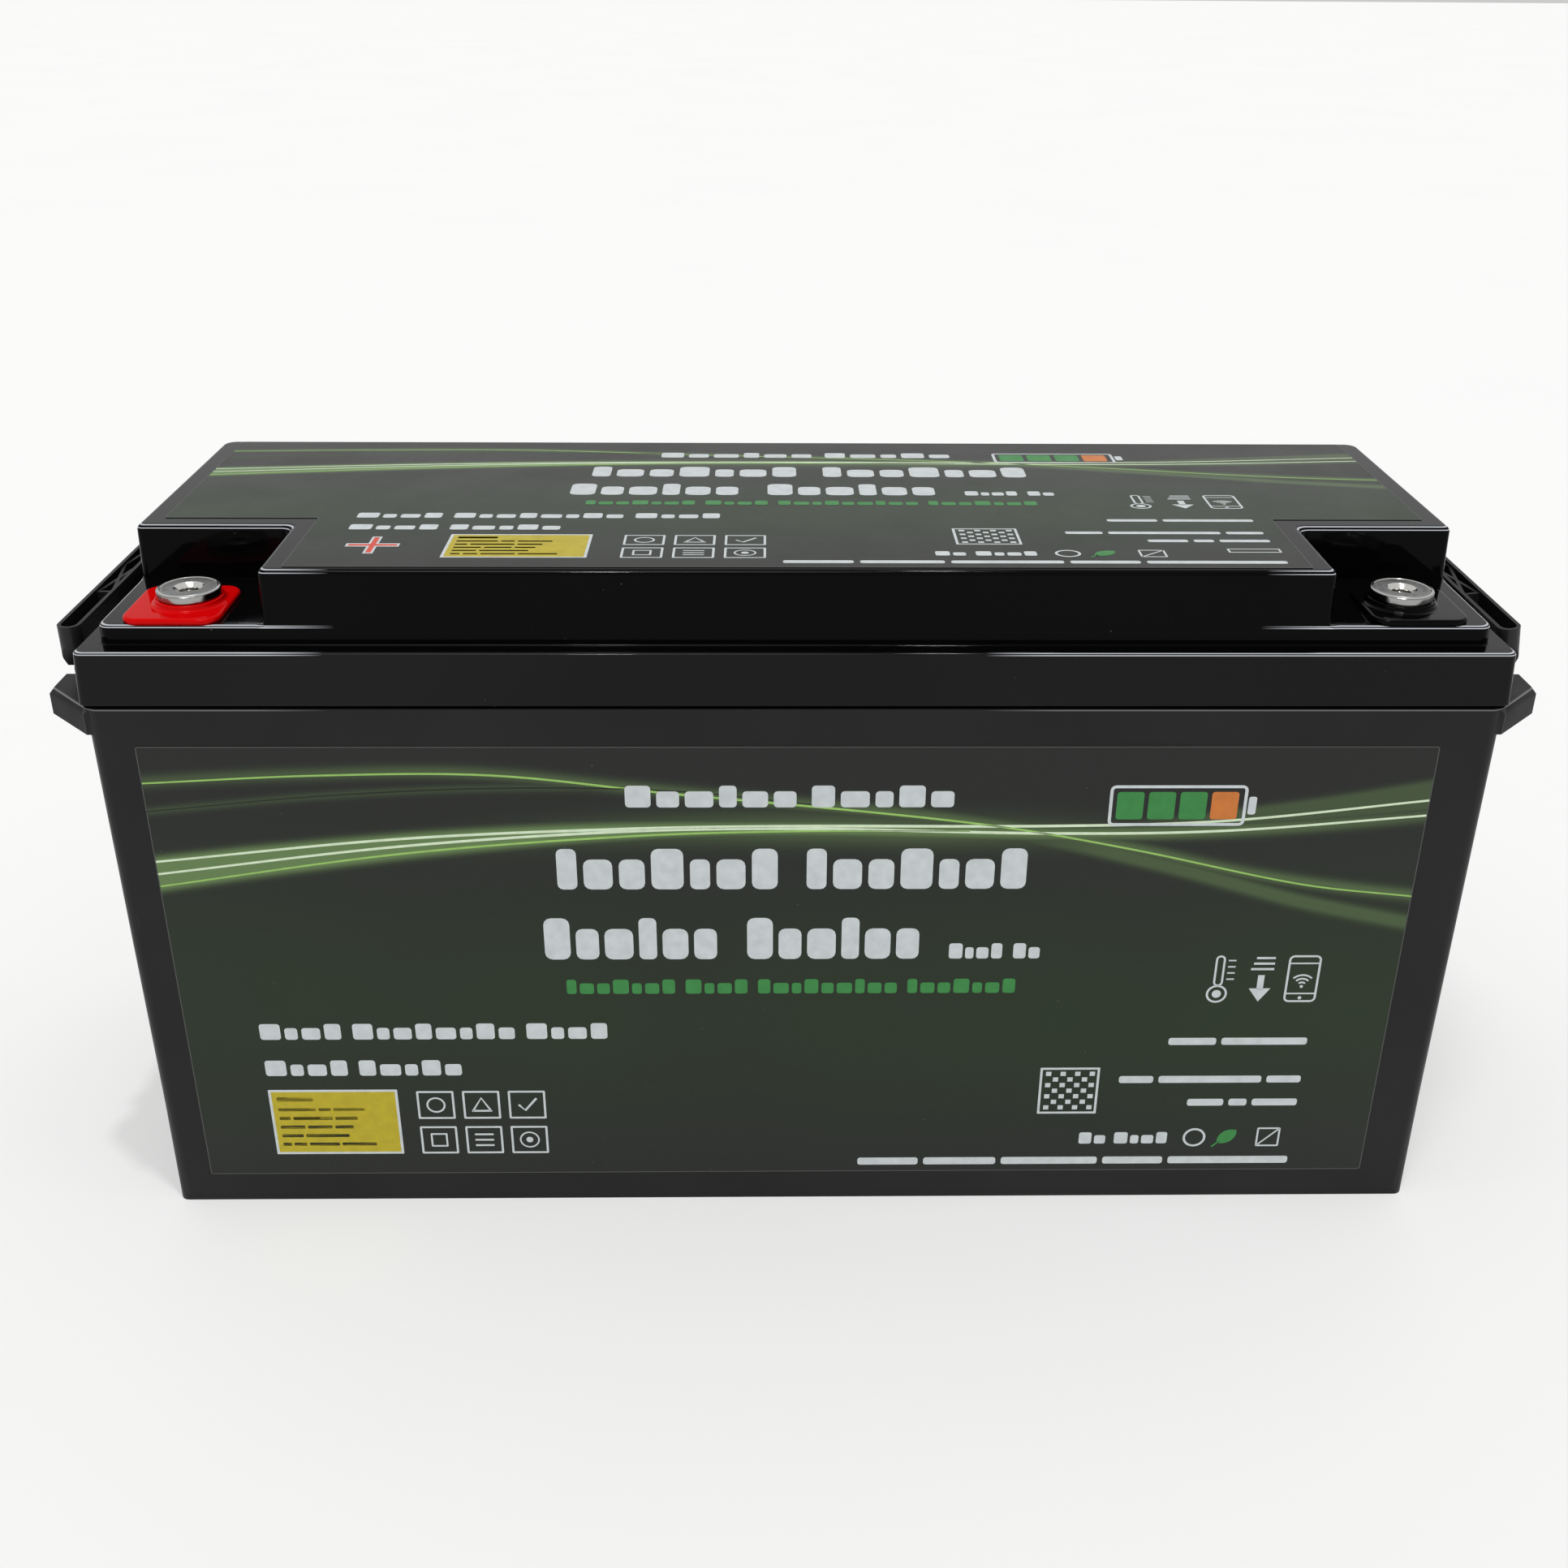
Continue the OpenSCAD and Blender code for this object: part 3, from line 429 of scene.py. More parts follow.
def mesh_from(name, points, faces):
    """Closed mesh from points in millimetres, with its faces turned outwards."""
    mesh = bpy.data.meshes.new(name)
    mesh.from_pydata([Vector(p) * MM for p in points], [], faces)
    work = bmesh.new()
    work.from_mesh(mesh)
    bmesh.ops.remove_doubles(work, verts=work.verts, dist=1e-7)
    bmesh.ops.dissolve_degenerate(work, edges=work.edges, dist=1e-7)
    bmesh.ops.recalc_face_normals(work, faces=work.faces)
    work.to_mesh(mesh)
    work.free()
    return mesh


def skin(name, rings, looped=False):
    """Closed surface through rings of equally many points; looped joins last to first."""
    count = len(rings[0])
    points = [p for ring in rings for p in ring]
    faces = []
    spans = len(rings) if looped else len(rings) - 1
    for i in range(spans):
        here, there = i * count, (i + 1) % len(rings) * count
        for j in range(count):
            k = (j + 1) % count
            faces.append((here + j, here + k, there + k, there + j))
    if not looped:
        faces.append(tuple(range(count))[::-1])
        faces.append(tuple(range(len(points) - count, len(points))))
    return mesh_from(name, points, faces)


def arc(centre, radius, start, end, steps):
    """Points on an arc from one angle to another, in degrees."""
    angles = [math.radians(start + (end - start) * i / steps) for i in range(steps + 1)]
    return [(centre[0] + radius * math.cos(a), centre[1] + radius * math.sin(a)) for a in angles]


def rounded_outline(corners):
    """Closed outline from corners (x, y, radius, points); a sharp corner is one point."""
    outline = []
    for i, (x, y, radius, count) in enumerate(corners):
        here = Vector((x, y))
        back = (Vector(corners[i - 1][:2]) - here).normalized()
        ahead = (Vector(corners[(i + 1) % len(corners)][:2]) - here).normalized()
        if count == 1:
            outline.append((x, y))
            continue
        for step in range(count):
            t = step / (count - 1)
            if abs(back.dot(ahead)) > 0.999:
                spot = here + (back * (1 - 2 * t)) * radius
            else:
                centre = here + (back + ahead) * radius
                angle = t * math.pi / 2
                spot = centre - ahead * radius * math.cos(angle) - back * radius * math.sin(angle)
            outline.append((spot.x, spot.y))
    return outline


def at_height(outline, z):
    return [(x, y, z) for x, y in outline]


def circle(centre, radius, segments):
    return arc(centre, radius, 0, 360 * (segments - 1) / segments, segments - 1)


def quarter(steps):
    """Angles from 0 to 90 degrees, in radians."""
    return [math.radians(90 * i / steps) for i in range(steps + 1)]


def rounded_copy(node, name, width_mm, material, body):
    """A copy of a CAD solid's mesh with its sharp edges rounded."""
    mesh = NODES[node].data.copy()
    work = bmesh.new()
    work.from_mesh(mesh)
    bmesh.ops.remove_doubles(work, verts=work.verts, dist=1e-6)
    bmesh.ops.dissolve_limit(work, angle_limit=math.radians(0.5), verts=work.verts, edges=work.edges)
    work.to_mesh(mesh)
    work.free()
    for layer in [layer for layer in mesh.attributes if layer.name == "custom_normal"]:
        mesh.attributes.remove(layer)
    piece = add_piece(name, mesh, material, body, [node])
    bevel = piece.modifiers.new("rounded_edges", "BEVEL")
    bevel.width = width_mm * MM
    bevel.segments = 2
    bevel.limit_method = "ANGLE"
    bevel.angle_limit = math.radians(35)
    bevel.use_clamp_overlap = True
    piece.modifiers.move(1, 0)
    joined = piece.modifiers.new("joined_points", "WELD")
    joined.merge_threshold = 1e-6
    piece.modifiers.move(2, 1)
    return piece


# ---------------- lid

# Where the painted highlights on the skirt's edge and just under it are left out: the middle and the reach
# to both sides
NO_HIGHLIGHT_STRETCH = (-48.0, 135.0)

# The notch's ends: their rounding, and how far off the outline's next point is
NOTCH_END_R = 2.0
NEAR = 2.4


def lid_dimensions():
    """The lid's sizes in millimetres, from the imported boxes. The block stands in by the
    ledge's width, and its front corners are cut away by notch_l and notch_w, down to the
    platforms that carry the terminal bases."""
    low, high = [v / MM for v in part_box("lid")]
    base_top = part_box("terminal_base_negative")[1].z / MM
    skirt_draft, ledge_w, notch_l, notch_w = 0.7, 6.9, 55.0, 45.7
    platform = base_top - 4.1
    block_x = high.x - skirt_draft - ledge_w
    block_y = high.y - skirt_draft - ledge_w
    return {
        "half_l": high.x, "half_w": high.y, "bottom": low.z, "top": high.z,
        "platform": platform, "ledge": platform - 7.0,
        "block_x": block_x, "block_y": block_y, "notch_x": block_x - notch_l,
        "notch_y": -block_y + notch_w, "skirt_draft": skirt_draft, "draft": 0.5,
        "roll": 1.4, "top_roll": 2.1, "groove_h": 1.3, "groove_depth": 0.9,
    }


def lid_painted_highlights():
    """The two painted highlight lines along each rolled edge of the lid, in metres."""
    d = lid_dimensions()
    notch_x, notch_y = d["notch_x"] + 1, d["notch_y"] - 1
    edges = [(d["ledge"], d["roll"], (*NO_HIGHLIGHT_STRETCH, d["half_w"])),
             (d["platform"], d["roll"], (0.0, notch_x, notch_y)),
             (d["top"], d["top_roll"], (0.0, notch_x, d["half_w"]))]
    lines = []
    for height, roll, where in edges:
        for angle, width in ((24, 0.32), (58, 0.52)):
            middle = height - roll * (1 - math.sin(math.radians(angle)))
            half = width / 2 * math.cos(math.radians(angle))
            lines.append(tuple(v * MM for v in (middle - half, middle + half, *where)))
    return lines


def symmetric_outline(front_right, x, y, radius, points):
    """Outline of a shape with equal halves, from its front right corners in order from
    the middle outwards, and its back corner (x, y)."""
    front_left = [(-cx, cy, r, n) for cx, cy, r, n in reversed(front_right)]
    back = [(x, y, radius, points), (-x, y, radius, points)]
    return rounded_outline(front_right + back + front_left)


def block_ring(d, z, inset, notched, edge=0.0, corner=4.0):
    """Outline of the raised block. At a terminal platform it either follows the platform's
    outer edge, drawn in by edge, or, notched, the walls behind the platform."""
    x, y = d["block_x"] - inset, d["block_y"] - inset
    nx, ny = d["notch_x"] - inset, d["notch_y"] + inset
    if notched:
        turn = [(nx, NEAR - y, 0, 1), (nx, ny, corner, 7), (x - NEAR, ny, 0, 1)]
    else:
        turn = [(nx + NEAR, edge - y, 0, 1), (x - edge, edge - y, corner, 7), (x - edge, ny - NEAR, 0, 1)]
    front = [(nx, -y, NOTCH_END_R, 5), *turn, (x, ny, NOTCH_END_R, 5)]
    return at_height(symmetric_outline(front, x, y, corner, 7), z)


def skirt_ring(d, z, inset, corner=3.0):
    """Outline of the skirt, with its points matched to the block's."""
    x, y = d["half_l"] - inset, d["half_w"] - inset
    nx, ny = d["notch_x"], d["notch_y"]
    front = [(nx, -y, NOTCH_END_R, 5), (nx + NEAR, -y, 0, 1), (x, -y, corner, 7), (x, ny - NEAR, 0, 1),
             (x, ny, NOTCH_END_R, 5)]
    return at_height(symmetric_outline(front, x, y, corner, 7), z)


def make_lid(material):
    """Skirt, ledge, terminal platforms and raised block as one hollow moulding."""
    d = lid_dimensions()
    wall, skirt_wall, inner_corner, skirt_inner_corner, steps = 3.0, 2.2, 1.5, 2.0, 6
    roll, top_roll = d["roll"], d["top_roll"]
    ledge, platform, top = d["ledge"], d["platform"], d["top"]
    groove, groove_top = d["groove_depth"], d["bottom"] + d["groove_h"]
    inner_draft, lip_inset, lip_h = 0.6, 0.2, 0.3
    fillet = 0.4 * roll

    def lean(z):
        return d["draft"] * (z - ledge) / (top - ledge)

    rings = [
        block_ring(d, top - wall, wall + d["draft"], True, corner=inner_corner),
        block_ring(d, platform - wall, wall, True, corner=inner_corner),
        block_ring(d, platform - wall, wall, False, corner=inner_corner),
        block_ring(d, ledge - wall, wall, False, corner=inner_corner),
        skirt_ring(d, ledge - wall, skirt_wall + inner_draft, skirt_inner_corner),
        skirt_ring(d, d["bottom"], skirt_wall, skirt_inner_corner),
        skirt_ring(d, d["bottom"], groove),
        skirt_ring(d, groove_top, groove),
        skirt_ring(d, groove_top, lip_inset),
        skirt_ring(d, groove_top + lip_h, 0.0),
    ]
    for a in quarter(steps):
        inset = d["skirt_draft"] + roll * (1 - math.cos(a))
        rings.append(skirt_ring(d, ledge - roll + roll * math.sin(a), inset))
    for a in quarter(steps):
        rings.append(block_ring(d, ledge + fillet * (1 - math.cos(a)), -fillet * (1 - math.sin(a)), False))
    for a in quarter(steps):
        rings.append(block_ring(d, platform - roll + roll * math.sin(a), lean(platform), False,
                                edge=roll * (1 - math.cos(a))))
    rings.append(block_ring(d, platform, lean(platform), True))
    for a in quarter(steps):
        rings.append(block_ring(d, top - top_roll + top_roll * math.sin(a),
                                lean(top) + top_roll * (1 - math.cos(a)), True))
    mesh = skin("lid_shell", rings)
    return add_piece("lid_shell", mesh, material, CASE, ["lid"], sharp=42)


# ---------------- terminals

def square_radius(angle, half, corner):
    """Distance from the centre to the edge of a round-cornered square."""
    a = abs((angle + math.pi / 4) % (math.pi / 2) - math.pi / 4)
    if half * math.tan(a) <= half - corner:
        return half / math.cos(a)
    reach = (half - corner) * (math.cos(a) + math.sin(a))
    return reach + math.sqrt(max(reach ** 2 - 2 * (half - corner) ** 2 + corner ** 2, 0.0))


def make_terminal_base(node, stud_node, name, material):
    """Square flange with a round boss under the contact disc, off the flange's middle."""
    low, high = [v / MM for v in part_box(node)]
    middle = (low + high) / 2
    stud_low, stud_high = [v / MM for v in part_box(stud_node)]
    stud = (stud_low + stud_high) / 2
    half, corner, boss, bore = (high.x - low.x) / 2, 6.0, 11.4, 7.2
    flange = high.z - 2.1
    bottom = high.z - 4.05
    segments, sweep, rim = 128, 1.5, 0.4

    def square(z, inset):
        spots = []
        for i in range(segments):
            a = 2 * math.pi * i / segments
            r = square_radius(a, half - inset, corner - inset)
            spots.append((middle.x + r * math.cos(a), middle.y + r * math.sin(a), z))
        return spots

    def ring(z, radius):
        return at_height(circle(stud, radius, segments), z)

    rings = [ring(bottom, bore), square(bottom, 0.2), square(bottom + 0.3, 0.0)]
    rings += [square(flange - 1.0 + math.sin(a), 1.0 - math.cos(a)) for a in quarter(4)]
    for a in quarter(5):
        rings.append(ring(flange + sweep * (1 - math.cos(a)), boss + sweep * (1 - math.sin(a))))
    for a in quarter(3):
        rings.append(ring(high.z - rim + rim * math.sin(a), boss - rim * (1 - math.cos(a))))
    rings.append(ring(high.z, bore))
    mesh = skin(name, rings, looped=True)
    return add_piece(name, mesh, material, CASE, [node])


def make_terminal(node, name):
    """Contact disc with a rounded rim, a neck, a countersink and a cut thread."""
    low, high = [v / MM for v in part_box(node)]
    middle = (low + high) / 2
    rim, top, stud = (high.x - low.x) / 2, high.z, 7.0
    disc_bottom = top - 3.0
    bore, crest, pitch, sink = 3.4, 4.0, 1.25, 4.7
    thread_top, thread_bottom = top - 1.5, top - 14.0
    profile = [(0.01, low.z), (stud, low.z), (stud, disc_bottom - 0.5), (rim - 1.1, disc_bottom - 0.5)]
    profile += [(rim - 1.1, disc_bottom + 0.3), (rim - 0.35, disc_bottom + 0.3), (rim, disc_bottom + 0.65)]
    profile += arc((rim - 0.5, top - 0.5), 0.5, 0, 90, 4)
    profile += [(rim - 1.1, top), (rim - 1.3, top - 0.14), (rim - 1.7, top - 0.14), (rim - 1.9, top)]
    profile += [(sink + 0.35, top), (sink, top - 0.2), (bore, thread_top)]
    turns = int((thread_top - thread_bottom) / pitch)
    for i in range(turns):
        z = thread_top - i * pitch
        profile += [(bore, z - 0.15 * pitch), (crest, z - 0.5 * pitch), (crest, z - 0.6 * pitch),
                    (bore, z - 0.95 * pitch)]
    profile += [(bore, thread_bottom), (0.01, thread_bottom - 1.0)]
    mesh = skin(name, [at_height(circle(middle, radius, 96), z) for radius, z in profile], looped=True)
    material = turned_nickel(name + "_metal", middle.x * MM, middle.y * MM)
    return add_piece(name, mesh, material, CASE, [node], sharp=25)


# ---------------- printed films

class Sheet:
    """A flat film on the case. It maps the design's x and z, in millimetres, to a place
    on its outer face; shifts moves a named column of the design along the film."""

    def __init__(self, name, centre, across, up, outwards, shifts):
        self.name = name
        self.centre, self.across, self.up, self.outwards = centre, across, up, outwards
        self.shifts = shifts

    def point(self, x, z, lift=0.0):
        place = self.centre + self.across * (x - DESIGN_MIDDLE[0]) + self.up * (z - DESIGN_MIDDLE[1])
        return place + self.outwards * lift


class Print:
    """Gathers one colour's flat printed shapes on a sheet into one mesh."""

    SUNK_MM = 0.03
    ROUND = 24

    def __init__(self, sheet, colour_name, material, thickness):
        self.sheet, self.material, self.thickness = sheet, material, thickness
        self.name = sheet.name + "_" + colour_name
        self.points, self.faces = [], []
        self.shift = 0.0

    def column(self, name):
        self.shift = self.sheet.shifts.get(name, 0.0)
        return self

    def layer(self, outline, lift):
        start = len(self.points)
        self.points += [self.sheet.point(x + self.shift, z, lift) for x, z in outline]
        return list(range(start, len(self.points)))

    def solid(self, outline):
        """Thin closed plate from one outline."""
        low = self.layer(outline, -self.SUNK_MM)
        high = self.layer(outline, self.thickness)
        count = len(outline)
        self.faces += [tuple(low[::-1]), tuple(high)]
        for i in range(count):
            j = (i + 1) % count
            self.faces.append((low[i], low[j], high[j], high[i]))

    def hollow(self, outer, inner):
        """Thin closed band between two outlines of equally many points."""
        layers = [self.layer(outer, -self.SUNK_MM), self.layer(outer, self.thickness),
                  self.layer(inner, self.thickness), self.layer(inner, -self.SUNK_MM)]
        count = len(outer)
        for i, here in enumerate(layers):
            there = layers[(i + 1) % 4]
            for j in range(count):
                k = (j + 1) % count
                self.faces.append((here[j], here[k], there[k], there[j]))

    def box(self, x0, x1, z0, z1, radius=0.0):
        self.solid(self.rounded(x0, x1, z0, z1, radius))

    def outline(self, x0, x1, z0, z1, line, radius=0.6):
        inner = max(radius - line, 0.05)
        self.hollow(self.rounded(x0, x1, z0, z1, radius),
                    self.rounded(x0 + line, x1 - line, z0 + line, z1 - line, inner))

    def ring(self, x, z, radius, line):
        self.hollow(circle((x, z), radius, self.ROUND), circle((x, z), radius - line, self.ROUND))

    def disc(self, x, z, radius):
        self.solid(circle((x, z), radius, self.ROUND))

    def stroke(self, centre_line, width):
        """Band along a centre line; width is a number or a function of 0 to 1."""
        upper, lower = [], []
        last = len(centre_line) - 1
        for i, (x, z) in enumerate(centre_line):
            a, b = centre_line[max(i - 1, 0)], centre_line[min(i + 1, last)]
            side = Vector((a[1] - b[1], b[0] - a[0])).normalized()
            half = (width(i / last) if callable(width) else width) / 2
            upper.append((x + side.x * half, z + side.y * half))
            lower.append((x - side.x * half, z - side.y * half))
        self.solid(lower + upper[::-1])

    @staticmethod
    def rounded(x0, x1, z0, z1, radius):
        if radius <= 0:
            return [(x0, z0), (x1, z0), (x1, z1), (x0, z1)]
        return rounded_outline([(x0, z0, radius, 4), (x1, z0, radius, 4), (x1, z1, radius, 4),
                                (x0, z1, radius, 4)])

    def words(self, x0, x1, z0, height, lengths, blocks=False):
        """A line of plain bars in place of words, of the given relative lengths.
        blocks cuts each word into upright blocks, some of them tall."""
        gap = 0.62 * height
        unit = (x1 - x0 - gap * (len(lengths) - 1)) / sum(lengths)
        x = x0
        for length in lengths:
            end = x + length * unit
            if blocks:
                self.letter_blocks(x, end, z0, height, length)
            else:
                self.box(x, end, z0, z0 + height, 0.3 * height)
            x = end + gap

    def letter_blocks(self, x0, x1, z0, height, count):
        """One word's blocks: the first is tall, as is every third after it."""
        widths = [(1.0, 0.8, 0.9, 0.62)[(i * 3 + count) % 4] for i in range(count)]
        slit = 0.2
        unit = (x1 - x0) / (sum(widths) + slit * (count - 1))
        x = x0
        for i, width in enumerate(widths):
            tall = height if i % 3 == 0 else 0.74 * height
            self.box(x, x + width * unit, z0, z0 + tall, min(0.16 * height, 0.3 * width * unit))
            x += (width + slit) * unit

    def finish(self):
        if not self.faces:
            return
        mesh = mesh_from(self.name, self.points, self.faces)
        add_piece(self.name, mesh, self.material, CASE)


def streak(points, samples=64):
    first, last = points[0][0], points[-1][0]
    xs = [first + (last - first) * i / (samples - 1) for i in range(samples)]
    return [(x, along(points, x)) for x in xs]


def print_streaks(white, lime, dark):
    """Thin bright lines through the glow of the film."""
    def swell(least, most):
        return lambda t: least + (most - least) * math.sin(math.pi * min(max(t, 0.02), 0.98))

    white.stroke(streak(BRIGHT), swell(0.8, 1.1))
    white.stroke(streak(MIDDLE), swell(0.8, 1.1))
    lime.stroke(streak(LOWER), swell(0.6, 0.8))
    lime.stroke(streak(ARCH), swell(0.6, 0.8))
    dark.stroke(streak(SHADE), swell(0.35, 0.55))


def print_text_blocks(white, green):
    """Plain bars where such a case carries its name, rating and notes."""
    white.column("middle").words(-60, 54, 173.5, 8.5, (6, 5), blocks=True)
    white.words(-85, 81, 140.5, 16.5, (7, 7), blocks=True)
    white.words(-91, 44, 111, 17.5, (6, 6), blocks=True)
    white.words(55, 88, 111, 6.5, (4, 2), blocks=True)
    green.column("middle").words(-84, 80, 96, 6.2, (7, 4, 9, 7), blocks=True)
    white.column("left").words(-198, -70, 76, 7.0, (4, 8, 4), blocks=True)
    white.words(-198, -125, 59.5, 7.0, (4, 5), blocks=True)
    white.column("right").words(139, 191, 72.3, 3.2, (5, 9))
    white.words(122, 191, 54.8, 3.2, (3, 9, 3))
    white.words(149, 191, 44.0, 3.2, (4, 2, 5))
    white.column("foot").words(24, 191, 16.2, 3.4, (5, 6, 8, 5, 10))
    white.column("notes").words(109, 143, 26.0, 5.4, (2, 4), blocks=True)


def print_battery_symbol(white, green, orange):
    """Plain charge symbol: a cell outline with three bars and a cap."""
    for part in (white, green, orange):
        part.column("right")
    white.outline(108, 156, 166, 182, 1.1, 2.0)
    white.box(156.6, 159.4, 170.5, 177.5, 0.8)
    for i in range(3):
        green.box(110.6 + i * 11, 120 + i * 11, 168.6, 179.4, 1.0)
    orange.box(143.6, 153, 168.6, 179.4, 1.0)


def print_marks(white):
    """Six plain outlined squares, each with one simple shape."""
    white.column("marks")
    width, height, pitch, rise = 14.0, 13.0, 17.2, 16.6
    for row in range(2):
        for col in range(3):
            x, z = -143.0 + col * pitch, 39.2 - row * rise
            white.outline(x, x + width, z, z + height, 0.8, 0.5)
            cx, cz = x + width / 2, z + height / 2
            kind = row * 3 + col
            if kind == 0:
                white.ring(cx, cz, 3.6, 0.7)
            elif kind == 1:
                white.stroke([(cx - 3.4, cz - 2.8), (cx, cz + 3.2), (cx + 3.4, cz - 2.8)], 0.8)
                white.stroke([(cx - 3.8, cz - 2.8), (cx + 3.8, cz - 2.8)], 0.8)
            elif kind == 2:
                white.stroke([(cx - 3.2, cz), (cx - 0.8, cz - 2.6), (cx + 3.6, cz + 3.0)], 0.9)
            elif kind == 3:
                white.outline(cx - 3.2, cx + 3.2, cz - 3.2, cz + 3.2, 0.7, 0.4)
            elif kind == 4:
                for step in (-2.6, 0.0, 2.6):
                    white.box(cx - 3.6, cx + 3.6, cz + step - 0.4, cz + step + 0.4, 0.3)
            else:
                white.ring(cx, cz, 3.8, 0.6)
                white.disc(cx, cz, 1.3)


def print_panel(yellow, white, dark):
    """Yellow panel with a pale edge and dark ruled lines."""
    for part in (yellow, white, dark):
        part.column("panel")
    white.outline(-198.4, -150.0, 22.6, 53.0, 1.0, 0.3)
    yellow.box(-197.4, -151.0, 23.6, 52.0)
    dark.words(-195.6, -182, 47.4, 2.3, (1,))
    for i, (end, lengths) in enumerate(((-163, (6, 2, 5)), (-166, (2, 7, 4)), (-168, (4, 4, 3)),
                                        (-170, (3, 6)), (-160, (2, 3, 7, 8)))):
        dark.words(-195.6, end, 43.0 - i * 4.1, 1.5, lengths)


def print_symbols(white):
    """Thermometer, low-level arrow and handset: plain outline symbols."""
    white.column("right")
    white.ring(154.5, 95.2, 3.9, 0.8)
    white.disc(154.5, 95.2, 1.7)
    white.outline(152.7, 156.3, 98.6, 112, 0.75, 1.7)
    for i in range(4):
        white.box(157.4, 160.2, 101.4 + i * 2.7, 102.0 + i * 2.7)
    for i in range(3):
        white.box(166 + 0.8 * i, 174.5, 105.6 + i * 2.4, 106.5 + i * 2.4)
    white.stroke([(170.2, 103.4), (170.2, 97.0)], 2.4)
    white.solid([(166.2, 97.6), (170.2, 91.8), (174.2, 97.6)])
    white.outline(179.5, 191.5, 91.5, 112, 0.8, 2.0)
    white.box(180.3, 190.7, 108.2, 108.8)
    white.box(180.3, 190.7, 95.0, 95.6)
    white.disc(185.5, 93.4, 0.7)
    for reach in (1.6, 3.2, 4.8):
        white.stroke(arc((185.5, 98.6), reach, 45, 135, 8), 0.7)
    white.disc(185.5, 98.4, 0.6)


def print_code_square(white):
    """Pale square with a regular pattern of dots, which holds no data."""
    white.column("code")
    white.outline(92, 114.5, 40.5, 62.0, 0.9, 0.3)
    count, pitch_x, pitch_z = 7, 2.75, 2.62
    for row in range(count):
        for col in range(count):
            if (row + col) % 2 == 0:
                x, z = 94.2 + col * pitch_x, 42.5 + row * pitch_z
                white.box(x, x + 2.0, z, z + 1.9)


def print_foot_marks(white, green):
    """Ring, green leaf and outlined square beside the notes."""
    white.column("notes")
    green.column("notes")
    white.ring(153.5, 28.8, 4.4, 0.9)
    leaf = arc((0, -2.7), 5.4, 30, 150, 10) + arc((0, 2.7), 5.4, 210, 330, 10)
    tilt = Matrix.Rotation(math.radians(40), 2)
    spots = [tilt @ Vector(spot) for spot in leaf]
    green.solid([(166.0 + spot.x, 29.2 + spot.y) for spot in spots])
    green.stroke([(160.6, 24.2), (163.4, 27.0)], 0.7)
    white.outline(177.5, 186.5, 24.4, 33.4, 0.7, 0.6)
    white.stroke([(177.8, 24.7), (186.2, 33.1)], 0.6)


def print_poles(white, red):
    """Plus and minus beside the terminals, on the top film only."""
    for part in (white, red):
        part.column("poles")
    cx, cz = -146.0, 38.5

    def cross(reach_x, reach_z, bar_x, bar_z):
        """Upright cross, from the corners of one quarter turned into all four."""
        quarter = [(reach_x, bar_z), (bar_x, bar_z), (bar_x, reach_z)]
        upper = quarter + [(-x, z) for x, z in reversed(quarter)]
        return [(cx + x, cz + z) for x, z in upper + [(-x, -z) for x, z in upper]]

    inner = cross(8.2, 10.0, 0.9, 1.14)
    white.hollow(cross(9.0, 11.0, 1.7, 2.04), inner)
    red.solid(inner)
    white.outline(142, 160, 30.4, 35.2, 0.7, 0.3)


def make_film(node, sheet, outline, thickness, material):
    """The film: a thin slab whose UV map holds the design's coordinates."""
    rings = [[sheet.point(x, z, lift) for x, z in outline] for lift in (-thickness, 0.0)]
    mesh = skin(sheet.name, rings)
    layer = mesh.uv_layers.new(name="design")
    for loop in mesh.loops:
        away = mesh.vertices[loop.vertex_index].co / MM - sheet.centre
        x = away.dot(sheet.across) / sheet.across.length_squared
        z = away.dot(sheet.up) / sheet.up.length_squared
        layer.data[loop.index].uv = (x / DESIGN_W + 0.5, z / DESIGN_H + 0.5)
    return add_piece(sheet.name, mesh, material, CASE, [node])


def front_sheet():
    low, high = [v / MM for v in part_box("front_label")]
    film_t = 0.25
    lean = (high.y - low.y - film_t) / (high.z - low.z)
    up = Vector((0, -lean, 1))
    outwards = Vector((0, -1, -lean)).normalized()
    centre = Vector(((low.x + high.x) / 2, (low.y + high.y - film_t) / 2, (low.z + high.z) / 2))
    return Sheet("front_film", centre - outwards * 0.06, Vector((1, 0, 0)), up, outwards, {})


def top_sheet():
    low, high = [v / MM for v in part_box("top_label")]
    across = Vector(((high.x - low.x) / DESIGN_W, 0, 0))
    up = Vector((0, (high.y - low.y) / DESIGN_H * 0.97, 0))
    centre = Vector((0, (low.y + high.y) / 2 - 0.7, high.z - 0.06))
    shifts = {"left": 40, "panel": 77, "marks": 81, "middle": 5, "right": -32, "code": -41, "notes": -66,
              "foot": -32, "poles": 0}
    return Sheet("top_film", centre, across, up, Vector((0, 0, 1)), shifts)


def top_outline(sheet, inset=0.0):
    """Outline of the top film, cut away round both terminal notches."""
    low, high = [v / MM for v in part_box("top_label")]
    lid = lid_dimensions()
    margin = 8.0 + inset
    nx, ny = lid["notch_x"] - margin, lid["notch_y"] + margin
    x1 = high.x - inset
    front = [(nx, low.y + inset, 1.0, 4), (nx, ny, 0.4, 4), (x1, ny, 1.0, 4)]
    outline = symmetric_outline(front, x1, high.y - inset, 1.5, 4)
    return [((x - sheet.centre.x) / sheet.across.x + DESIGN_MIDDLE[0],
             (y - sheet.centre.y) / sheet.up.y + DESIGN_MIDDLE[1]) for x, y in outline]


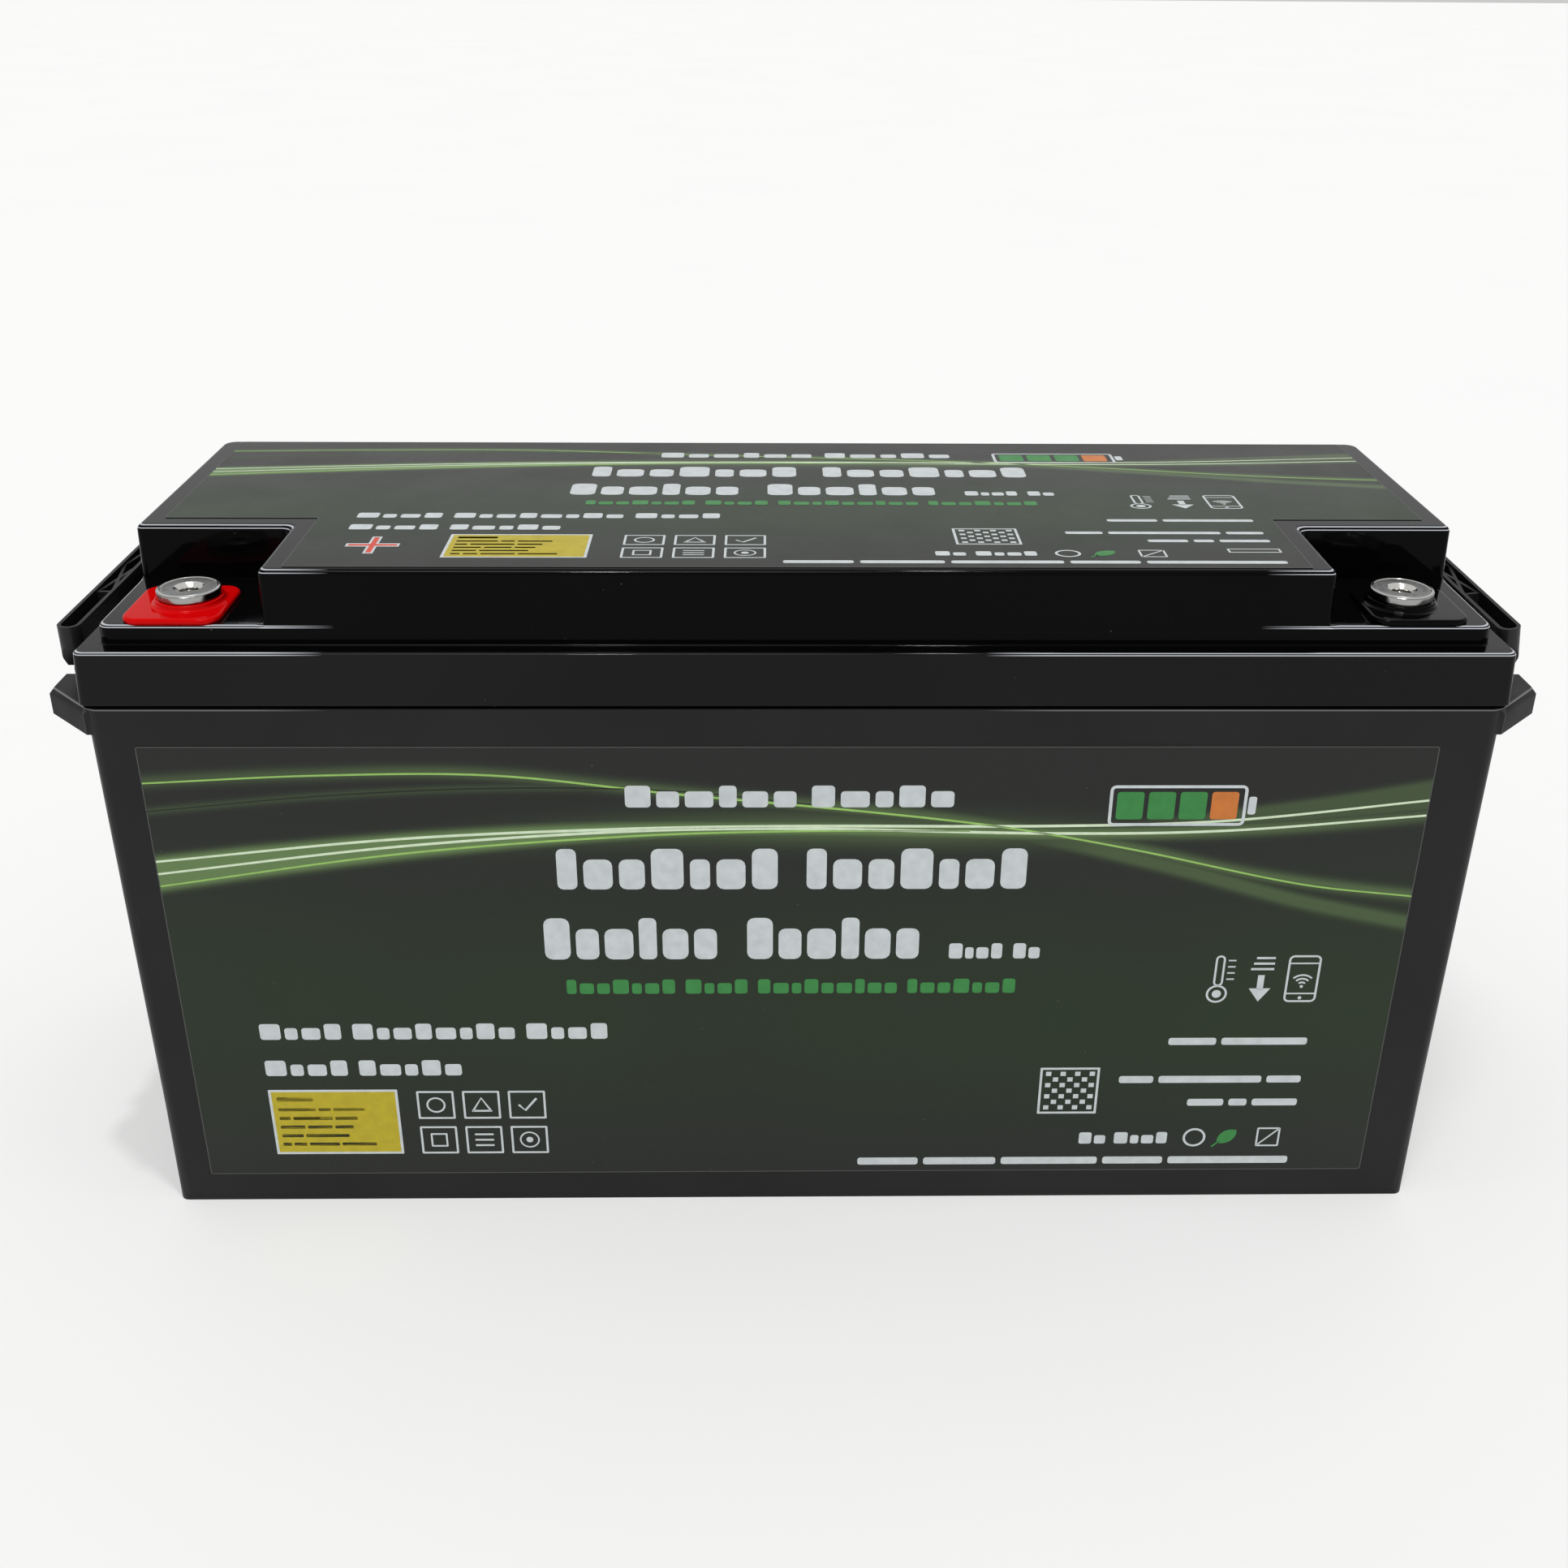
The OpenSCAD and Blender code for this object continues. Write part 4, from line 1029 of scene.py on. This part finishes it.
def make_prints(film_material):
    inks = {
        "rim": ink("ink_rim", (0.070, 0.074, 0.068)),
        "white": ink("ink_white", (0.55, 0.59, 0.60)),
        "streak": ink("ink_streak", (0.62, 0.74, 0.53)),
        "lime": ink("ink_lime", (0.28, 0.50, 0.12)),
        "green": ink("ink_green", (0.035, 0.22, 0.05)),
        "yellow": ink("ink_yellow", (0.46, 0.37, 0.015)),
        "orange": ink("ink_orange", (0.56, 0.17, 0.03)),
        "red": ink("ink_red", (0.62, 0.06, 0.03)),
        "dark": ink("ink_dark", (0.012, 0.020, 0.010)),
        "shade": ink("ink_shade", (0.008, 0.012, 0.006)),
    }
    printed_first = ("rim", "streak", "lime", "shade")
    film_t, rim_line = 0.18, 0.35
    front, top = front_sheet(), top_sheet()
    make_film("front_label", front, Print.rounded(*DESIGN_X, *DESIGN_Z, 1.0), film_t, film_material)
    make_film("top_label", top, top_outline(top), film_t, film_material)
    for sheet in (front, top):
        p = {}
        for name, material in inks.items():
            p[name] = Print(sheet, name, material, 0.03 if name in printed_first else 0.05)
        if sheet is front:
            p["rim"].outline(*DESIGN_X, *DESIGN_Z, rim_line, 1.0)
        else:
            p["rim"].hollow(top_outline(top), top_outline(top, rim_line))
        print_streaks(p["streak"], p["lime"], p["shade"])
        print_text_blocks(p["white"], p["green"])
        print_battery_symbol(p["white"], p["green"], p["orange"])
        print_marks(p["white"])
        print_panel(p["yellow"], p["white"], p["dark"])
        print_symbols(p["white"])
        print_code_square(p["white"])
        print_foot_marks(p["white"], p["green"])
        if sheet is top:
            print_poles(p["white"], p["red"])
        for part in p.values():
            part.finish()


# ---------------- the rest of the battery

def dress(material, *names):
    """Gives CAD nodes that keep their own shape a material."""
    for name in names:
        NODES[name].data.materials.clear()
        NODES[name].data.materials.append(material)


def dress_inside():
    cells = ["cell_%d" % i for i in range(1, 9)]
    steel = metal("inner_steel", (0.40, 0.40, 0.41), (0.62, 0.62, 0.63), 0.30)
    aluminium = metal("inner_aluminium", (0.58, 0.59, 0.60), (0.78, 0.79, 0.80), 0.32, (1.0, 8.0, 1.0))
    copper = metal("inner_copper", (0.55, 0.24, 0.13), (0.85, 0.46, 0.30), 0.28, (8.0, 1.0, 1.0))
    tinned = metal("inner_tinned", (0.60, 0.60, 0.57), (0.80, 0.80, 0.77), 0.25)
    wrap = glossy("cell_wrap", (0.02, 0.10, 0.30), (0.03, 0.13, 0.36), 0.25, 0.5)
    dress(wrap, *cells)
    dress(steel, "cell_straps", "busbar_nuts", "terminal_washers", "terminal_nuts", "bms_screws",
          "cable_bolts")
    dress(aluminium, "bms_bracket", "bms_heat_sink")
    dress(copper, "busbars", "positive_link")
    dress(tinned, "cable_lugs")
    dress(soft_sheet("foam", (0.05, 0.05, 0.055), (0.09, 0.09, 0.095), 0.9, 0.8, 0.6),
          "base_foam_pad", "side_foam_pads", "end_foam_pads")
    dress(soft_sheet("epoxy_sheet", (0.50, 0.47, 0.26), (0.60, 0.57, 0.34), 0.5, 0.5, 0.15),
          "cell_spacers", "cell_end_plates", "insulation_board")
    dress(soft_sheet("seal_rubber", (0.02, 0.02, 0.02), (0.035, 0.035, 0.035), 0.75, 0.4, 0.2),
          "lid_seal", "terminal_gaskets")
    dress(glossy("circuit_board", (0.010, 0.12, 0.05), (0.015, 0.16, 0.07), 0.3, 0.5),
          "bms_board", "wireless_module")
    dress(moulded("component_black", (0.010, 0.010, 0.011), (0.018, 0.018, 0.019), 0.4, 0.3),
          "bms_components", "temperature_sensor")
    dress(moulded("plug_ivory", (0.66, 0.62, 0.50), (0.74, 0.71, 0.60), 0.45, 0.4), "balance_plug")
    dress(moulded("wire_red", (0.45, 0.02, 0.02), (0.55, 0.03, 0.03), 0.45, 0.3), "balance_harness")
    dress(moulded("cable_black", (0.010, 0.010, 0.010), (0.020, 0.020, 0.020), 0.5, 0.4),
          "cable_cell_negative", "cable_pack_negative")


# ---------------- stage

def make_floor():
    half = 14.0
    mesh = bpy.data.meshes.new("floor")
    corners = [(-half, -half, 0), (half, -half, 0), (half, half, 0), (-half, half, 0)]
    mesh.from_pydata(corners, [], [(0, 1, 2, 3)])
    g = Graph("floor_paper")
    g.set(Base_Color=g.mix(g.noise(3, detail=3), (0.80, 0.80, 0.80), (0.83, 0.83, 0.82)),
          Roughness=g.remap(g.noise(40), 0.3, 0.7, 0.75, 0.9), Specular_IOR_Level=0.15)
    mesh.materials.append(g.material)
    floor = bpy.data.objects.new("floor", mesh)
    SCENE.collection.objects.link(floor)


def soft_sun(name, towards, spread, strength):
    """Even light from a wide round source, spread degrees across."""
    light = bpy.data.lights.new(name, "SUN")
    light.angle = math.radians(spread)
    light.energy = strength
    lamp = bpy.data.objects.new(name, light)
    SCENE.collection.objects.link(lamp)
    lamp.rotation_euler = Vector(towards).to_track_quat("Z", "Y").to_euler()


def make_lights():
    world = bpy.data.worlds.new("studio")
    SCENE.world = world
    world.use_nodes = True
    background = world.node_tree.nodes["Background"]
    background.inputs["Color"].default_value = (1.0, 1.0, 1.0, 1.0)
    background.inputs["Strength"].default_value = 0.6
    soft_sun("sun_front", (-0.12, -0.40, 0.90), 22, 1.1)
    soft_sun("spark_front", (-0.10, -0.55, 0.85), 2.2, 0.45)
    soft_sun("spark_above", (0.10, -0.10, 1.00), 2.2, 0.5)


def make_camera():
    """View of the labelled face from a little above the lid, just left of the middle."""
    frame_size = 1932
    focal, principal_x, principal_y = 2051.35, 979.37, 869.74
    pitch, yaw, roll = math.radians(24.793), math.radians(1.043), math.radians(0.438)
    data = bpy.data.cameras.new("camera")
    camera = bpy.data.objects.new("camera", data)
    SCENE.collection.objects.link(camera)
    data.sensor_width = 36.0
    data.lens = focal * data.sensor_width / frame_size
    data.shift_x = (frame_size / 2 - principal_x) / frame_size
    data.shift_y = (principal_y - frame_size / 2) / frame_size
    data.clip_start, data.clip_end = 0.02, 60.0
    place = Matrix.Translation((-0.01079, -0.59320, 0.44745))
    aim = Matrix.Rotation(-yaw, 4, "Z") @ Matrix.Rotation(math.pi / 2 - pitch, 4, "X")
    camera.matrix_world = place @ aim @ Matrix.Rotation(roll, 4, "Z")
    SCENE.camera = camera


# ---------------- scene

SCENE.view_settings.view_transform = "Standard"
make_camera()
make_floor()
make_lights()

lid = lid_dimensions()
# Painted highlight: a pale line just under the lid's skirt, left out along the same middle stretch as the
# lid's.
rim_line = [v * MM for v in (lid["bottom"] - 0.95, lid["bottom"] - 0.45, *NO_HIGHLIGHT_STRETCH, 0.0)]
case_black = moulded("case_black", (0.0075, 0.0075, 0.0078), (0.0105, 0.0105, 0.0108), 0.40, 0.35,
                     specular=0.2, highlight_lines=[rim_line], dull_beyond=(lid["half_l"] - 0.5) * MM)
handle_black = moulded("handle_black", (0.008, 0.008, 0.008), (0.013, 0.013, 0.013), 0.36, 0.30,
                       specular=0.25)
# The lid carries painted light: highlight lines on its rolled edges, a paler sheen on the skirt and no
# shine in the groove under it.
lid_gloss = glossy("lid_gloss", (0.0010, 0.0010, 0.0012), (0.0018, 0.0018, 0.0021), 0.04, 0.055,
                   top_specular=0.24, sheen_below=lid["ledge"] * MM, tint=(0.0135, 0.0135, 0.0140),
                   painted_highlights=lid_painted_highlights(), groove=(lid["bottom"] + lid["groove_h"]) * MM)
base_red = glossy("base_red", (0.50, 0.001, 0.001), (0.56, 0.001, 0.002), 0.05, 0.06)

rounded_copy("container", "container_shell", 0.5, case_black, CASE)
make_lid(lid_gloss)
make_terminal_base("terminal_base_positive", "terminal_positive", "base_positive", base_red)
make_terminal_base("terminal_base_negative", "terminal_negative", "base_negative", lid_gloss)
make_terminal("terminal_positive", "contact_positive")
make_terminal("terminal_negative", "contact_negative")
rounded_copy("handle_left", "grip_left", 0.25, handle_black, "left_handle")
rounded_copy("handle_right", "grip_right", 0.25, handle_black, "right_handle")
make_prints(label_film("label_film"))
dress_inside()
